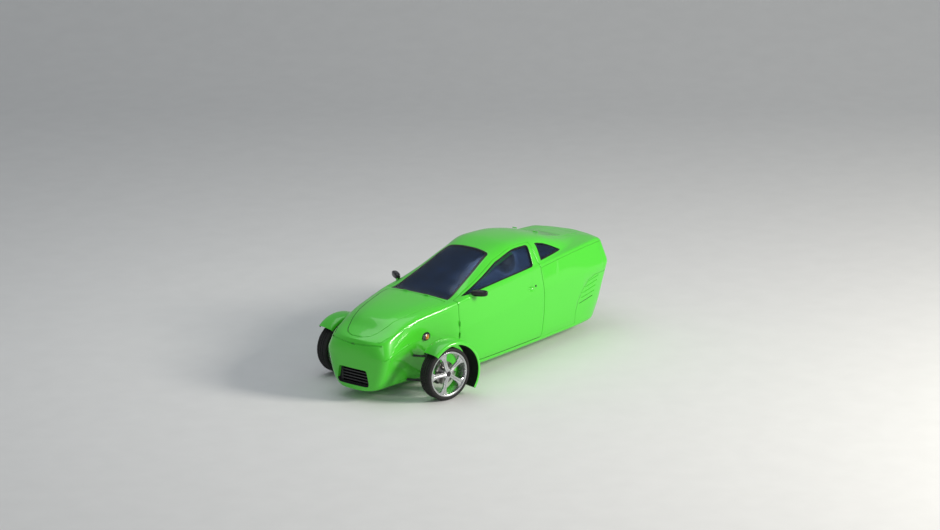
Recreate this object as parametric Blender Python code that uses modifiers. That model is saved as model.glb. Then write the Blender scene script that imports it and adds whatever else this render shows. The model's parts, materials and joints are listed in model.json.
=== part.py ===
"""Enclosed three-wheeled car: two steered wheels in front, one wheel behind.

Metres. +X runs to the nose, +Y to the car's left and +Z up. The pieces are made about
the car's middle line. The last step moves them so that the origin lies on the ground
under the middle of the bounding box, which the turned front wheels make uneven.
"""
import math

import bmesh
import bpy
import numpy as np
from mathutils import Matrix, Vector

CAR = "three_wheeled_car"

# Clearances
SEAT_GAP = 0.0003            # between pieces that touch
SHUT_GAP = 0.006             # around a door or a lid
SEAM_GAP = 0.003             # along a seam between fixed panels
PIN_GAP = 0.0008             # around an axle
DOOR_CLEARANCE = 0.012       # between a door's inner face and what lies inside

# Main sizes
NOSE_X = 2.095
TAIL_X = -2.015
WHEELBASE = 2.794
FRONT_AXLE_X = 1.400
REAR_AXLE_X = FRONT_AXLE_X - WHEELBASE
WHEEL_Y = 0.763              # middle plane of a front wheel, straight ahead
KINGPIN_Y = 0.640
STEER_AT_REST = math.radians(-11.5)   # both front wheels point a little to the right

SIDES = ((1, "left"), (-1, "right"))
ROUNDED = ("front", "hood", "hatch", "roof", "door", "side", "quarter", "tail", "fender")

# Body wall
WALL = 0.045
GLASS_INSET = 0.006
GLASS_THICK = 0.005
FLOOR_Z = 0.125              # underside of the body
TRAY_TOP = 0.179             # the side panels stand on the floor tray here
DECK_Z = FLOOR_Z + WALL + SEAT_GAP   # what stands inside the tray stands here

# Body sections from tail to nose, in the left half
STATION_COLUMNS = (
    "x", "top_z", "rail_y", "rail_z", "base_y", "base_z", "belt_y", "belt_z",
    "crease_y", "crease_z", "low_y", "low_z", "sill_y",
)
STATIONS = (
    (TAIL_X, 1.072, 0.200, 1.068, 0.330, 1.062, 0.440, 1.035, 0.520, 0.800, 0.500, 0.40, 0.430),
    (-1.800, 1.095, 0.200, 1.093, 0.330, 1.090, 0.470, 1.078, 0.562, 0.785, 0.540, 0.40, 0.470),
    (-1.500, 1.130, 0.250, 1.118, 0.360, 1.092, 0.510, 1.080, 0.575, 0.780, 0.560, 0.40, 0.520),
    (-1.200, 1.200, 0.330, 1.170, 0.445, 1.087, 0.540, 1.072, 0.580, 0.765, 0.565, 0.40, 0.540),
    (-0.900, 1.287, 0.385, 1.235, 0.500, 1.070, 0.552, 1.056, 0.583, 0.750, 0.570, 0.40, 0.545),
    (-0.600, 1.335, 0.415, 1.272, 0.528, 1.050, 0.553, 1.035, 0.585, 0.735, 0.575, 0.40, 0.550),
    (-0.300, 1.347, 0.414, 1.286, 0.533, 1.030, 0.553, 1.012, 0.585, 0.710, 0.575, 0.40, 0.550),
    (0.050, 1.290, 0.372, 1.228, 0.530, 1.000, 0.550, 0.982, 0.583, 0.675, 0.573, 0.39, 0.550),
    (0.400, 1.163, 0.405, 1.102, 0.524, 0.980, 0.545, 0.962, 0.577, 0.648, 0.567, 0.38, 0.545),
    (0.650, 1.060, 0.430, 1.018, 0.515, 0.965, 0.538, 0.948, 0.568, 0.625, 0.555, 0.38, 0.532),
    (0.900, 0.972, 0.435, 0.945, 0.497, 0.938, 0.526, 0.925, 0.548, 0.600, 0.530, 0.38, 0.505),
    (1.100, 0.957, 0.402, 0.935, 0.460, 0.922, 0.503, 0.900, 0.492, 0.610, 0.455, 0.43, 0.420),
    (1.300, 0.942, 0.362, 0.920, 0.420, 0.903, 0.472, 0.876, 0.456, 0.618, 0.405, 0.48, 0.350),
    (1.500, 0.918, 0.325, 0.893, 0.385, 0.876, 0.440, 0.848, 0.438, 0.606, 0.385, 0.45, 0.320),
    (1.750, 0.862, 0.275, 0.835, 0.340, 0.815, 0.405, 0.782, 0.430, 0.575, 0.370, 0.37, 0.295),
    (1.950, 0.770, 0.235, 0.760, 0.305, 0.748, 0.380, 0.712, 0.440, 0.530, 0.368, 0.26, 0.280),
    (NOSE_X, 0.700, 0.200, 0.695, 0.280, 0.685, 0.360, 0.650, 0.450, 0.500, 0.360, 0.20, 0.270),
)
CORNERS = (
    # how far each corner's rounding reaches, its segments
    (0.400, 3),              # crown
    (0.110, 2),              # rail
    (0.030, 1),              # base
    (0.030, 1),              # belt
    (0.030, 1),              # crease
    (0.150, 1),              # low
    (0.040, 1),              # sill
)
INSET_WAYS = (
    # the way each corner moves when the wall's inner face is made, roof's middle first
    (0.0, -1.0), (0.0, -1.0), (-0.60, -0.85), (-0.95, -0.50), (-1.0, -0.20), (-1.0, 0.0), (-1.0, 0.0),
    (-1.0, 1.0), (0.0, 1.0),
)
CROWN_SHARE = 0.55           # how far out the roof stays level, of the rail's half-width
NOSE_ROUND_X = 1.900         # the plan outline turns in from here to the nose
NOSE_POWER = 3.0
TAIL_ROUND_X = -1.850
TAIL_POWER = 2.8
# How far the end faces lie back at a height: height, distance along X
NOSE_RAKE = ((0.10, -0.02), (0.20, 0.0), (0.55, 0.0), (0.62, -0.005), (0.70, -0.03), (0.80, -0.09))
TAIL_RAKE = (
    (0.10, 0.21), (0.25, 0.18), (0.50, 0.12), (0.70, 0.04), (0.78, 0.0), (0.92, 0.0), (1.00, 0.02), (1.08, 0.08),
)
RAKE_REACH = 0.45            # the rake fades out this far in from each end
STATION_STEP = 0.22
END_STEPS = 4

# Cutters run past the body's sides, roof and middle by these
SIDE_REACH = 1.0
MIDDLE_CLEAR = 0.05
ROOF_CLEAR_Z = 1.60
LID_LOW_Z = 0.60
END_REACH = 0.10

# Side outlines, x and z
DOOR_FRONT_X = 0.885
DOOR_REAR_X = -0.600
DOOR_LOW_Z = 0.185
DOOR_OUTLINE = (
    (DOOR_FRONT_X, DOOR_LOW_Z), (DOOR_FRONT_X, 1.005), (0.640, 1.082),
    (0.350, 1.172), (0.150, 1.230), (-0.030, 1.276), (-0.290, 1.306), (-0.540, 1.300), (-0.592, 1.276),
    (-0.582, 1.020), (-0.612, 0.750), (-0.622, 0.450), (-0.605, 0.220), (-0.580, DOOR_LOW_Z),
)
DOOR_WINDOW = (
    (0.815, 0.960), (0.700, 1.052), (0.350, 1.145), (0.090, 1.208), (-0.065, 1.248),
    (-0.290, 1.277), (-0.480, 1.272), (-0.515, 1.252), (-0.480, 1.055), (-0.455, 1.038),
)
DOOR_FRAME = 0.022           # the door's frame beside the front pillar
QUARTER_WINDOW = (
    (-0.660, 1.250), (-0.700, 1.247), (-0.820, 1.216), (-0.950, 1.162), (-1.085, 1.095),
    (-1.050, 1.089), (-0.640, 1.070),
)
SHELL_REAR_X = 0.800         # the front shell runs back to here, less the door's space
COWL_X = 0.900
COWL_Z = 0.903
QUARTER_FRONT_X = -0.500
TAIL_PANEL_X = TAIL_X + 0.215
BELT_CUT = (
    (-0.600, 1.000), (-0.900, 1.028), (-1.200, 1.043), (-1.500, 1.046), (TAIL_PANEL_X, 1.036),
    (TAIL_X - END_REACH, 1.000),
)
TAIL_CUT = (
    (-1.250, 0.000), (-1.262, 0.200), (-1.260, 0.313), (-1.298, 0.446), (-1.385, 0.563), (-1.489, 0.655),
    (-1.620, 0.690), (TAIL_X - END_REACH, 0.690), (TAIL_X - END_REACH, 0.000),
)

# Plan outlines of the left half, x and y
PILLAR_LINE = (
    (1.200, 0.455), (0.885, 0.452), (0.600, 0.432), (0.350, 0.404), (0.050, 0.366), (-0.300, 0.374),
    (-1.000, 0.374),
)
HOOD_REAR_X = 0.985
HOOD_OUTLINE = (
    (HOOD_REAR_X, 0.408), (1.050, 0.408), (1.300, 0.352), (1.500, 0.315), (1.800, 0.245), (1.930, 0.195),
    (1.985, 0.150), (2.020, 0.070),
)
WINDSHIELD_OUTLINE = (
    (0.955, 0.120), (0.950, 0.300), (0.930, 0.405), (0.060, 0.290), (0.035, 0.268), (0.020, 0.100),
)
HATCH_FRONT_X = -1.020
HATCH_OUTLINE = (
    (HATCH_FRONT_X, 0.262), (-1.090, 0.262), (-1.300, 0.235), (-1.560, 0.190), (-1.780, 0.170),
)
HATCH_WINDOW = ((-1.070, 0.215), (-1.300, 0.190), (-1.480, 0.160))

# The far edge of each opening's cut leans along X, by this much for each metre out of the body,
# so that the door or lid clears it as it starts to swing
DOOR_LEAN = -0.18
HOOD_LEAN = 0.38
HATCH_LEAN = -0.38

# Barrel hinges, each with a knuckle and a leaf on both pieces
HINGE_R = 0.006
HINGE_LENGTH = 0.060
LEAF_REACH = 0.020
LEAF_DEPTH = 0.020
DOOR_HINGE = (DOOR_FRONT_X + SHUT_GAP / 2, 0.555)      # x and y
DOOR_HINGE_Z = (0.560, 0.690)
HOOD_HINGE_X = HOOD_REAR_X - SHUT_GAP / 2
HATCH_HINGE_X = HATCH_FRONT_X + SHUT_GAP / 2
LID_HINGE_RISE = 0.007       # a lid's pin line above the roof's middle line
LID_HINGE_Y = 0.150

# Nose: mouth outline in y and z, and the grille in it
MOUTH_HALF = ((0.192, 0.370), (0.222, 0.215), (0.205, TRAY_TOP))
MOUTH = [(-y, z) for y, z in MOUTH_HALF] + [(y, z) for y, z in reversed(MOUTH_HALF)]
MOUTH_DEPTH = 0.250
GRILLE_X = NOSE_X - 0.070
GRILLE_THICK = 0.014
GRILLE_BARS = 5
GRILLE_FRAME = 0.012
GRILLE_SLOT_Y = 0.175
GRILLE_SLOT_SHARE = 0.60

# Lamps
LAMP_AT = (1.360, 0.449, 0.640)
LAMP_SIZE = (0.062, 0.030, 0.048)
# Tail lamp outline in y and z, on the left
TAIL_LAMP = (
    (0.250, 0.872), (0.262, 0.860), (0.410, 0.860), (0.422, 0.872), (0.422, 0.908), (0.410, 0.920),
    (0.262, 0.920), (0.250, 0.908),
)

# Walls inside the body
FIREWALL_X = 0.955
FIREWALL_THICK = 0.015
FIREWALL_TOP = 0.900
BULKHEAD_X = REAR_AXLE_X + 0.409
BULKHEAD_THICK = 0.015
SHELF_Z = 0.655
SHELF_TOP = SHELF_Z + BULKHEAD_THICK

# Engine, one plain block on the tray
ENGINE_LOW = (1.180, -0.200, DECK_Z)
ENGINE_HIGH = (1.620, 0.200, 0.560)
ENGINE_ROUNDING = 0.020

# Seats, one behind the other: side outlines, x and z
SEAT_Y = 0.215
FRONT_SEAT = (
    (-0.300, DECK_Z), (0.220, DECK_Z), (0.290, 0.360), (0.250, 0.400), (-0.180, 0.340), (-0.370, 0.860),
    (-0.400, 0.990), (-0.470, 0.990), (-0.490, 0.860),
)
# The rear seat leans over the bulkhead: distance ahead of it, z
REAR_SEAT = (
    (SEAT_GAP, DECK_Z), (0.425, DECK_Z), (0.455, 0.390), (0.405, 0.430), (0.125, 0.380), (0.015, 0.700),
    (-0.095, 1.010), (-0.145, 1.035), (-0.190, 0.950), (-0.125, SHELF_TOP + SEAT_GAP),
    (SEAT_GAP, SHELF_TOP + SEAT_GAP),
)

# Dashboard and steering wheel
DASH = (
    (FIREWALL_X - SEAT_GAP, 0.560), (FIREWALL_X - SEAT_GAP, 0.870), (0.860, 0.880), (0.700, 0.880),
    (0.610, 0.830), (0.590, 0.720), (0.640, 0.600), (0.760, 0.560),
)
STEERING_AT = (0.430, 0.0, 0.780)
STEERING_TILT = math.radians(25)
STEERING_R = 0.165
STEERING_GRIP = 0.014
STEERING_SPOKES = 3
STEERING_SPOKE = (0.010, 0.028, 0.012)   # start radius, width, thickness
BOSS_R = 0.040
BOSS_HALF = 0.018
COLUMN_R = 0.022
COLUMN_LENGTH = 0.300

# Mirrors
MIRROR_AT = (0.600, 0.598, 0.984)
MIRROR_SIZE = (0.070, 0.190, 0.074)
MIRROR_SWEEP = math.radians(33)      # the outer end lies back by this
MIRROR_ROUNDING = 0.026
STALK = ((0.700, 0.480, 0.930), (0.625, 0.575, 0.972))
STALK_R = 0.014

# Wheels
TYRE_R = 0.298
TYRE_W = 0.165
RIM_R = TYRE_R - 0.062       # where the tyre sits
RIM_LIP_R = RIM_R + 0.0175
RIM_HALF = TYRE_W / 2 - 0.004
RIM_WALL = 0.010
RIM_LIP_THICK = 0.010
BEAD_HALF = RIM_HALF - RIM_LIP_THICK
# Tyre outline from the bead to the tread: radius, distance from the middle plane
TYRE_SECTION = (
    (RIM_R + SEAT_GAP, BEAD_HALF - SEAT_GAP), (RIM_LIP_R, BEAD_HALF - SEAT_GAP),
    (RIM_LIP_R + 0.002, RIM_HALF), (TYRE_R - 0.026, TYRE_W / 2), (TYRE_R - 0.012, TYRE_W / 2 - 0.004),
    (TYRE_R, TYRE_W / 2 - 0.0175),
)
# Rim outline: radius, distance outward from the middle plane
RIM_SECTION = (
    (RIM_LIP_R - SEAT_GAP, RIM_HALF), (RIM_LIP_R - SEAT_GAP, BEAD_HALF), (RIM_R, BEAD_HALF),
    (RIM_R, -BEAD_HALF), (RIM_LIP_R - SEAT_GAP, -BEAD_HALF), (RIM_LIP_R - SEAT_GAP, -RIM_HALF),
    (RIM_R - RIM_WALL, -RIM_HALF), (RIM_R - RIM_WALL, RIM_HALF - 0.012), (RIM_LIP_R - 0.012, RIM_HALF),
)
SPOKES = 5
SPOKE_THICK = 0.024
SPOKE_FACE = RIM_HALF - 0.010   # the spokes' face lies this far out from the middle plane
HUB_R = 0.062
HUB_BACK = 0.010
HUB_FACE = SPOKE_FACE - 0.004
# Spoke outline: radius, half-width
SPOKE_OUTLINE = ((HUB_R, 0.024), (RIM_R - 0.086, 0.020), (RIM_R - 0.041, 0.028), (RIM_R - 0.007, 0.050))
SPOKE_END_R = RIM_R - 0.004
STUB_R = 0.022
STUB_END = SPOKE_FACE - 0.022   # a front wheel's stub axle ends this far out from its middle plane
BORE_END = STUB_END + 0.002
WHEEL_STEPS = 28

# Front fenders: rise of the crowned section above the arc's radius, by share of the half-width
FENDER_R = TYRE_R + 0.068
FENDER_W = TYRE_W + 0.065
FENDER_OUT = 0.017           # the fender's middle lies this far outside the wheel's
FENDER_THICK = 0.006
FENDER_SHEET_SIDE = 1.0      # the sheet lies inside the drawn section
FENDER_SECTION = (
    (-1.0, -0.030), (-0.97, -0.006), (-0.80, 0.006), (0.0, 0.016),
    (0.80, 0.006), (0.97, -0.006), (1.0, -0.030),
)
FENDER_BACK = 0.042          # the arc's middle lies this far behind the axle
FENDER_FRONT = math.radians(44)
FENDER_REAR = math.radians(216)
FENDER_STEPS = 16
# Fender post, about the kingpin: its place, and the pad on the fender that it carries
POST_X = -0.100
POST_Y = 0.022
POST_R = 0.008
POST_ROOT = 0.080            # the post leaves the knuckle this far below its top
POST_BEND = 0.020            # and turns upright this far below it
PAD_LOW_Z = TYRE_R + 0.302
PAD_SIZE = (0.040, 0.014, 0.036)

# With both front wheels turned, the rear edge of one fender and the front edge of the other reach
# furthest out, so the bounding box's middle lies beside the car's middle line
EDGE_R = FENDER_R + FENDER_SECTION[1][1]
EDGE_UNEVEN = EDGE_R * (1 - math.cos(FENDER_FRONT)) + 2 * FENDER_BACK
ORIGIN_SHIFT = Vector((-(NOSE_X + TAIL_X) / 2, math.sin(STEER_AT_REST) * EDGE_UNEVEN / 2, 0.0))

# Suspension
KNUCKLE_LOW_Z = TYRE_R - 0.118
KNUCKLE_HIGH_Z = TYRE_R + 0.132
KNUCKLE_SIZE = (0.055, 0.036)
ARM_R = 0.014
ARM_SPREAD = 0.150
ARM_ROOT_Y = 0.300
BALL_R = 0.026
BALL_H = 0.030
LOWER_ARM_Z = KNUCKLE_LOW_Z - SEAT_GAP - BALL_H / 2
UPPER_ARM_Z = KNUCKLE_HIGH_Z + SEAT_GAP + BALL_H / 2

# Rear swing arm
SLOT_X = TYRE_R + 0.062      # the rear wheel's slot in the tray, from the axle
SWING_Y = TYRE_W / 2 + 0.0375
SWING_R = 0.020
SWING_END = 0.030            # the arm's sides reach this far behind the axle
SWING_RISE = 0.200           # and start to rise this far ahead of it
SWING_TURN = 0.030           # corner between an arm's side and its cross tube
SLOT_Y = SWING_Y + SWING_R + 0.075
SLOT_TOP = 0.300
PIVOT_Z = 0.330
PIVOT_X = BULKHEAD_X - BULKHEAD_THICK - SEAT_GAP   # the pad's front face
PIVOT_PAD = (0.024, 0.120, 0.050)


def clear_scene():
    """Remove every object that is already there."""
    for old in list(bpy.data.objects):
        bpy.data.objects.remove(old, do_unlink=True)


clear_scene()
PARTS = bpy.data.collections.new(CAR)
CUTTERS = bpy.data.collections.new(CAR + "_cutters")
bpy.context.scene.collection.children.link(PARTS)
bpy.context.scene.collection.children.link(CUTTERS)


# Materials
def material(name, color, roughness, metallic=0.0, alpha=1.0):
    made = bpy.data.materials.new(name)
    made.use_nodes = True
    shader = made.node_tree.nodes["Principled BSDF"]
    shader.inputs["Base Color"].default_value = (*color, 1.0)
    shader.inputs["Roughness"].default_value = roughness
    shader.inputs["Metallic"].default_value = metallic
    shader.inputs["Alpha"].default_value = alpha
    return made


FINISHES = {
    "green_paint": material("green_paint", (0.100, 0.650, 0.080), 0.25),
    "black_plastic": material("black_plastic", (0.020, 0.020, 0.022), 0.50),
    "glass": material("glass", (0.050, 0.070, 0.090), 0.05, alpha=0.35),
    "rubber": material("rubber", (0.020, 0.020, 0.020), 0.85),
    "alloy": material("alloy", (0.700, 0.700, 0.700), 0.25, metallic=1.0),
    "dark_steel": material("dark_steel", (0.080, 0.080, 0.085), 0.45, metallic=1.0),
    "cast_metal": material("cast_metal", (0.300, 0.300, 0.310), 0.55, metallic=1.0),
    "floor_black": material("floor_black", (0.030, 0.030, 0.032), 0.80),
    "seat_cloth": material("seat_cloth", (0.060, 0.060, 0.065), 0.95),
    "lamp": material("lamp", (0.700, 0.320, 0.050), 0.15),
    "red_lens": material("red_lens", (0.450, 0.010, 0.010), 0.15),
}


# Small tools
def put(made, finish=None):
    """Put an object with the parts, or with the cutters when it has no finish."""
    for old in made.users_collection:
        old.objects.unlink(made)
    if finish is None:
        CUTTERS.objects.link(made)
        made.hide_render = True
        made.display_type = "WIRE"
        return made
    PARTS.objects.link(made)
    made.data.materials.clear()
    made.data.materials.append(FINISHES[finish])
    return made


def mesh_from(name, fill, finish=None):
    """Make an object whose mesh the function fill builds in a bmesh."""
    made = bpy.data.objects.new(name, bpy.data.meshes.new(name))
    work = bmesh.new()
    fill(work)
    bmesh.ops.recalc_face_normals(work, faces=work.faces)
    if work.faces and work.calc_volume(signed=True) < 0:
        bmesh.ops.reverse_faces(work, faces=work.faces)
    work.to_mesh(made.data)
    work.free()
    return put(made, finish)


def smooth(made, degrees=32):
    made.data.shade_smooth()
    made.data.set_sharp_from_angle(angle=math.radians(degrees))
    return made


def block(name, low, high, finish=None, bevel=0.0):
    """A box between two corners, with its edges rounded where bevel says."""
    low = Vector(low)
    high = Vector(high)

    def fill(work):
        bmesh.ops.create_cube(work, size=1.0)
        bmesh.ops.scale(work, vec=high - low, verts=work.verts)
        bmesh.ops.translate(work, vec=(high + low) / 2, verts=work.verts)

    made = mesh_from(name, fill, finish)
    if bevel:
        round_edges(made, bevel)
    return made


def round_edges(made, width, segments=2, degrees=40):
    bevel = made.modifiers.new("rounding", "BEVEL")
    bevel.width = width
    bevel.segments = segments
    bevel.limit_method = "ANGLE"
    bevel.angle_limit = math.radians(degrees)
    return made


def cylinder(name, radius, low, high, finish=None, steps=24):
    """A round bar between two points."""
    low = Vector(low)
    high = Vector(high)
    along = high - low
    turn = along.to_track_quat("Z", "Y").to_matrix().to_4x4()

    def fill(work):
        bmesh.ops.create_cone(
            work, cap_ends=True, segments=steps, radius1=radius, radius2=radius, depth=along.length)
        bmesh.ops.transform(work, matrix=Matrix.Translation((low + high) / 2) @ turn, verts=work.verts)

    return mesh_from(name, fill, finish)


def curve_to_mesh(made, finish):
    """Turn a curve object into a closed mesh object of the same name and place."""
    bpy.context.view_layer.update()
    seen = made.evaluated_get(bpy.context.evaluated_depsgraph_get())
    mesh = bpy.data.meshes.new_from_object(seen)
    work = bmesh.new()
    work.from_mesh(mesh)
    bmesh.ops.remove_doubles(work, verts=work.verts, dist=1e-5)
    work.transform(made.matrix_world)
    work.to_mesh(mesh)
    work.free()
    name = made.name
    bpy.data.objects.remove(made)
    return put(bpy.data.objects.new(name, mesh), finish)


def slab(name, outline, low, high, axis, finish=None):
    """A flat outline made thick along an axis, Y for a side outline and Z for a plan one."""
    curve = bpy.data.curves.new(name, "CURVE")
    curve.dimensions = "2D"
    curve.fill_mode = "BOTH"
    curve.extrude = (high - low) / 2
    spline = curve.splines.new("POLY")
    spline.points.add(len(outline) - 1)
    for point, (across, up) in zip(spline.points, outline):
        point.co = (across, up, 0.0, 1.0)
    spline.use_cyclic_u = True
    made = bpy.data.objects.new(name, curve)
    middle = (high + low) / 2
    if axis == "Y":
        made.matrix_world = Matrix.Translation((0, middle, 0)) @ Matrix.Rotation(math.pi / 2, 4, "X")
    elif axis == "X":
        made.matrix_world = Matrix.Translation((middle, 0, 0)) @ Matrix.Rotation(
            math.pi / 2, 4, "Z") @ Matrix.Rotation(math.pi / 2, 4, "X")
    else:
        made.matrix_world = Matrix.Translation((0, 0, middle))
    PARTS.objects.link(made)
    return curve_to_mesh(made, finish)


def tube(name, points, radius, finish=None, resolution=2):
    """A bar of one thickness along a list of points."""
    curve = bpy.data.curves.new(name, "CURVE")
    curve.dimensions = "3D"
    curve.bevel_depth = radius
    curve.bevel_resolution = resolution
    curve.use_fill_caps = True
    spline = curve.splines.new("POLY")
    spline.points.add(len(points) - 1)
    for point, place in zip(spline.points, points):
        point.co = (*place, 1.0)
    made = bpy.data.objects.new(name, curve)
    PARTS.objects.link(made)
    return curve_to_mesh(made, finish)


def boolean(made, operation, other):
    cut = made.modifiers.new(operation.lower(), "BOOLEAN")
    cut.operation = operation
    cut.object = other
    return made


def turned(name, profile, finish, steps=WHEEL_STEPS, angle=2 * math.pi, closed=True):
    """A profile of radius and height turned about its Z axis."""
    def fill(work):
        corners = [work.verts.new((radius, 0.0, height)) for radius, height in profile]
        for first, second in zip(corners, corners[1:]):
            work.edges.new((first, second))
        if closed:
            work.edges.new((corners[-1], corners[0]))

    made = mesh_from(name, fill, finish)
    screw = made.modifiers.new("turn", "SCREW")
    screw.angle = angle
    screw.steps = steps
    screw.render_steps = steps
    screw.use_merge_vertices = True
    screw.merge_threshold = 0.0001
    return made


def set_in(outline, amount):
    """An outline with its corners moved in by an amount."""
    points = [Vector(point) for point in outline]
    count = len(points)
    area = sum(points[i].cross(points[(i + 1) % count]) for i in range(count))
    side = 1.0 if area > 0 else -1.0
    moved = []
    for i in range(count):
        before = (points[i] - points[i - 1]).normalized()
        after = (points[(i + 1) % count] - points[i]).normalized()
        first = Vector((-before.y, before.x)) * side
        second = Vector((-after.y, after.x)) * side
        inward = (first + second).normalized()
        moved.append(points[i] + inward * amount / max(inward.dot(first), 0.4))
    return [tuple(point) for point in moved]


def mirrored(outline):
    """A closed plan outline from its left half."""
    return list(outline) + [(x, -y) for x, y in reversed(outline)]


# Body surface
def smooth_value(x, knots, values):
    """A smooth curve through the knots, without overshoot."""
    knots = np.asarray(knots)
    values = np.asarray(values)
    steps = np.diff(knots)
    slopes = np.diff(values) / steps
    tangents = np.zeros(len(knots))
    tangents[0] = slopes[0]
    tangents[-1] = slopes[-1]
    for i in range(1, len(knots) - 1):
        if slopes[i - 1] * slopes[i] > 0:
            before = 2 * steps[i] + steps[i - 1]
            after = steps[i] + 2 * steps[i - 1]
            tangents[i] = (before + after) / (before / slopes[i - 1] + after / slopes[i])
    i = int(np.clip(np.searchsorted(knots, x) - 1, 0, len(knots) - 2))
    t = (x - knots[i]) / steps[i]
    return float(
        values[i] * (1 + 2 * t) * (1 - t) ** 2 + steps[i] * tangents[i] * t * (1 - t) ** 2
        + values[i + 1] * t * t * (3 - 2 * t) + steps[i] * tangents[i + 1] * t * t * (t - 1)
    )


STATION_TABLE = np.array(STATIONS)


def section_sizes(x):
    """Every named size of the body's section at x."""
    return {
        column: smooth_value(x, STATION_TABLE[:, 0], STATION_TABLE[:, i])
        for i, column in enumerate(STATION_COLUMNS) if i
    }


def plan_factor(x):
    """How far the rounded nose or tail draws the width in, and the share of the way to that end."""
    for start, end, power in ((NOSE_ROUND_X, NOSE_X, NOSE_POWER), (TAIL_ROUND_X, TAIL_X, TAIL_POWER)):
        share = (x - start) / (end - start)
        if share > 0:
            share = min(share, 1.0)
            return (1 - share ** power) ** (1 / power), math.copysign(share, end)
    return 1.0, 0.0


def raked_x(x, z):
    """The nose's face and the tail's face lean, so an end section isn't upright."""
    for end, rake in ((NOSE_X, NOSE_RAKE), (TAIL_X, TAIL_RAKE)):
        share = 1 - abs(end - x) / RAKE_REACH
        if share > 0:
            ease = share * share * (3 - 2 * share)
            x += ease * float(np.interp(z, *zip(*rake)))
    return x


def half_section(x, inset):
    """The left half of the section at x, from the roof's middle to the floor's, moved in by inset."""
    at = section_sizes(x)
    corners = [
        (0.0, at["top_z"]),
        (CROWN_SHARE * at["rail_y"], at["top_z"]),
        (at["rail_y"], at["rail_z"]),
        (at["base_y"], at["base_z"]),
        (at["belt_y"], at["belt_z"]),
        (at["crease_y"], at["crease_z"]),
        (at["low_y"], at["low_z"]),
        (at["sill_y"], FLOOR_Z),
        (0.0, FLOOR_Z),
    ]
    corners = [Vector(corner) + Vector(way) * inset for corner, way in zip(corners, INSET_WAYS)]
    points = [corners[0]]
    for i, (reach, segments) in enumerate(CORNERS, start=1):
        before = corners[i - 1] - corners[i]
        after = corners[i + 1] - corners[i]
        start_reach = min(reach, before.length * (1.0 if i == 1 else 0.45))
        start = corners[i] + before.normalized() * start_reach
        end = corners[i] + after.normalized() * min(reach, after.length * 0.45)
        for step in range(1 if i == 1 else 0, segments + 1):
            t = step / segments
            points.append(start * (1 - t) ** 2 + corners[i] * 2 * t * (1 - t) + end * t * t)
    points.append(corners[-1])
    factor, end_share = plan_factor(x)
    moved_x = x - inset * end_share
    return [Vector((raked_x(moved_x, z), y * factor, z)) for y, z in points]


def station_places():
    """Where the sections lie, closer together where the ends are rounded."""
    inner = int(math.ceil((NOSE_ROUND_X - TAIL_ROUND_X) / STATION_STEP))
    places = [TAIL_ROUND_X + (NOSE_ROUND_X - TAIL_ROUND_X) * i / inner for i in range(inner + 1)]
    turns = [math.sin(math.pi / 2 * (i + 1) / END_STEPS) for i in range(END_STEPS)]
    nose = [NOSE_ROUND_X + (NOSE_X - NOSE_ROUND_X) * turn for turn in turns]
    tail = [TAIL_ROUND_X + (TAIL_X - TAIL_ROUND_X) * turn for turn in reversed(turns)]
    return tail + places + nose


def body_ring(x, inset):
    """The whole section at x, round from the roof's middle."""
    half = half_section(x, inset)
    return half + [Vector((point.x, -point.y, point.z)) for point in half[-2:0:-1]]


def body_volume(name, inset=0.0):
    """The whole body as a solid, its surface moved in by inset."""
    def fill(work):
        rows = [[work.verts.new(point) for point in body_ring(x, inset)] for x in station_places()]
        count = len(rows[0])
        for first, second in zip(rows, rows[1:]):
            for i in range(count):
                j = (i + 1) % count
                work.faces.new((first[i], first[j], second[j]))
                work.faces.new((first[i], second[j], second[i]))
        bmesh.ops.remove_doubles(work, verts=work.verts, dist=1e-5)
        bmesh.ops.dissolve_degenerate(work, dist=1e-6, edges=work.edges)

    return mesh_from(name, fill)


OUTER = body_volume("outer_surface")
INNER = body_volume("inner_surface", WALL)
AROUND = body_volume("around_the_body", -SEAT_GAP)
INSIDE = body_volume("inside_of_the_wall", WALL + SEAT_GAP)
CLEAR_INSIDE = body_volume("clear_of_the_doors", WALL + DOOR_CLEARANCE)
GLASS_OUTER = body_volume("glass_outer_surface", GLASS_INSET)
GLASS_INNER = body_volume("glass_inner_surface", GLASS_INSET + GLASS_THICK)


def skin(name, regions, holes=(), finish="green_paint", outer=None, inner=None):
    """A panel of the body: the wall between two surfaces, kept in regions, less holes."""
    made = bpy.data.objects.new(name, (outer or OUTER).data.copy())
    put(made, finish)
    boolean(made, "DIFFERENCE", inner or INNER)
    for region in regions:
        boolean(made, "INTERSECT", region)
    for hole in holes:
        boolean(made, "DIFFERENCE", hole)
    return made


def pane(name, region):
    """A sheet of glass that fills a window's region."""
    return skin(name, [region], finish="glass", outer=GLASS_OUTER, inner=GLASS_INNER)


def lean_cut(made, lean, near_x, far_x, height_out):
    """Slant a cutter from upright at near_x to its full lean at far_x."""
    for corner in made.data.vertices:
        share = (corner.co.x - near_x) / (far_x - near_x)
        corner.co.x += lean * height_out(corner.co) * min(max(share, 0.0), 1.0)


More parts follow.
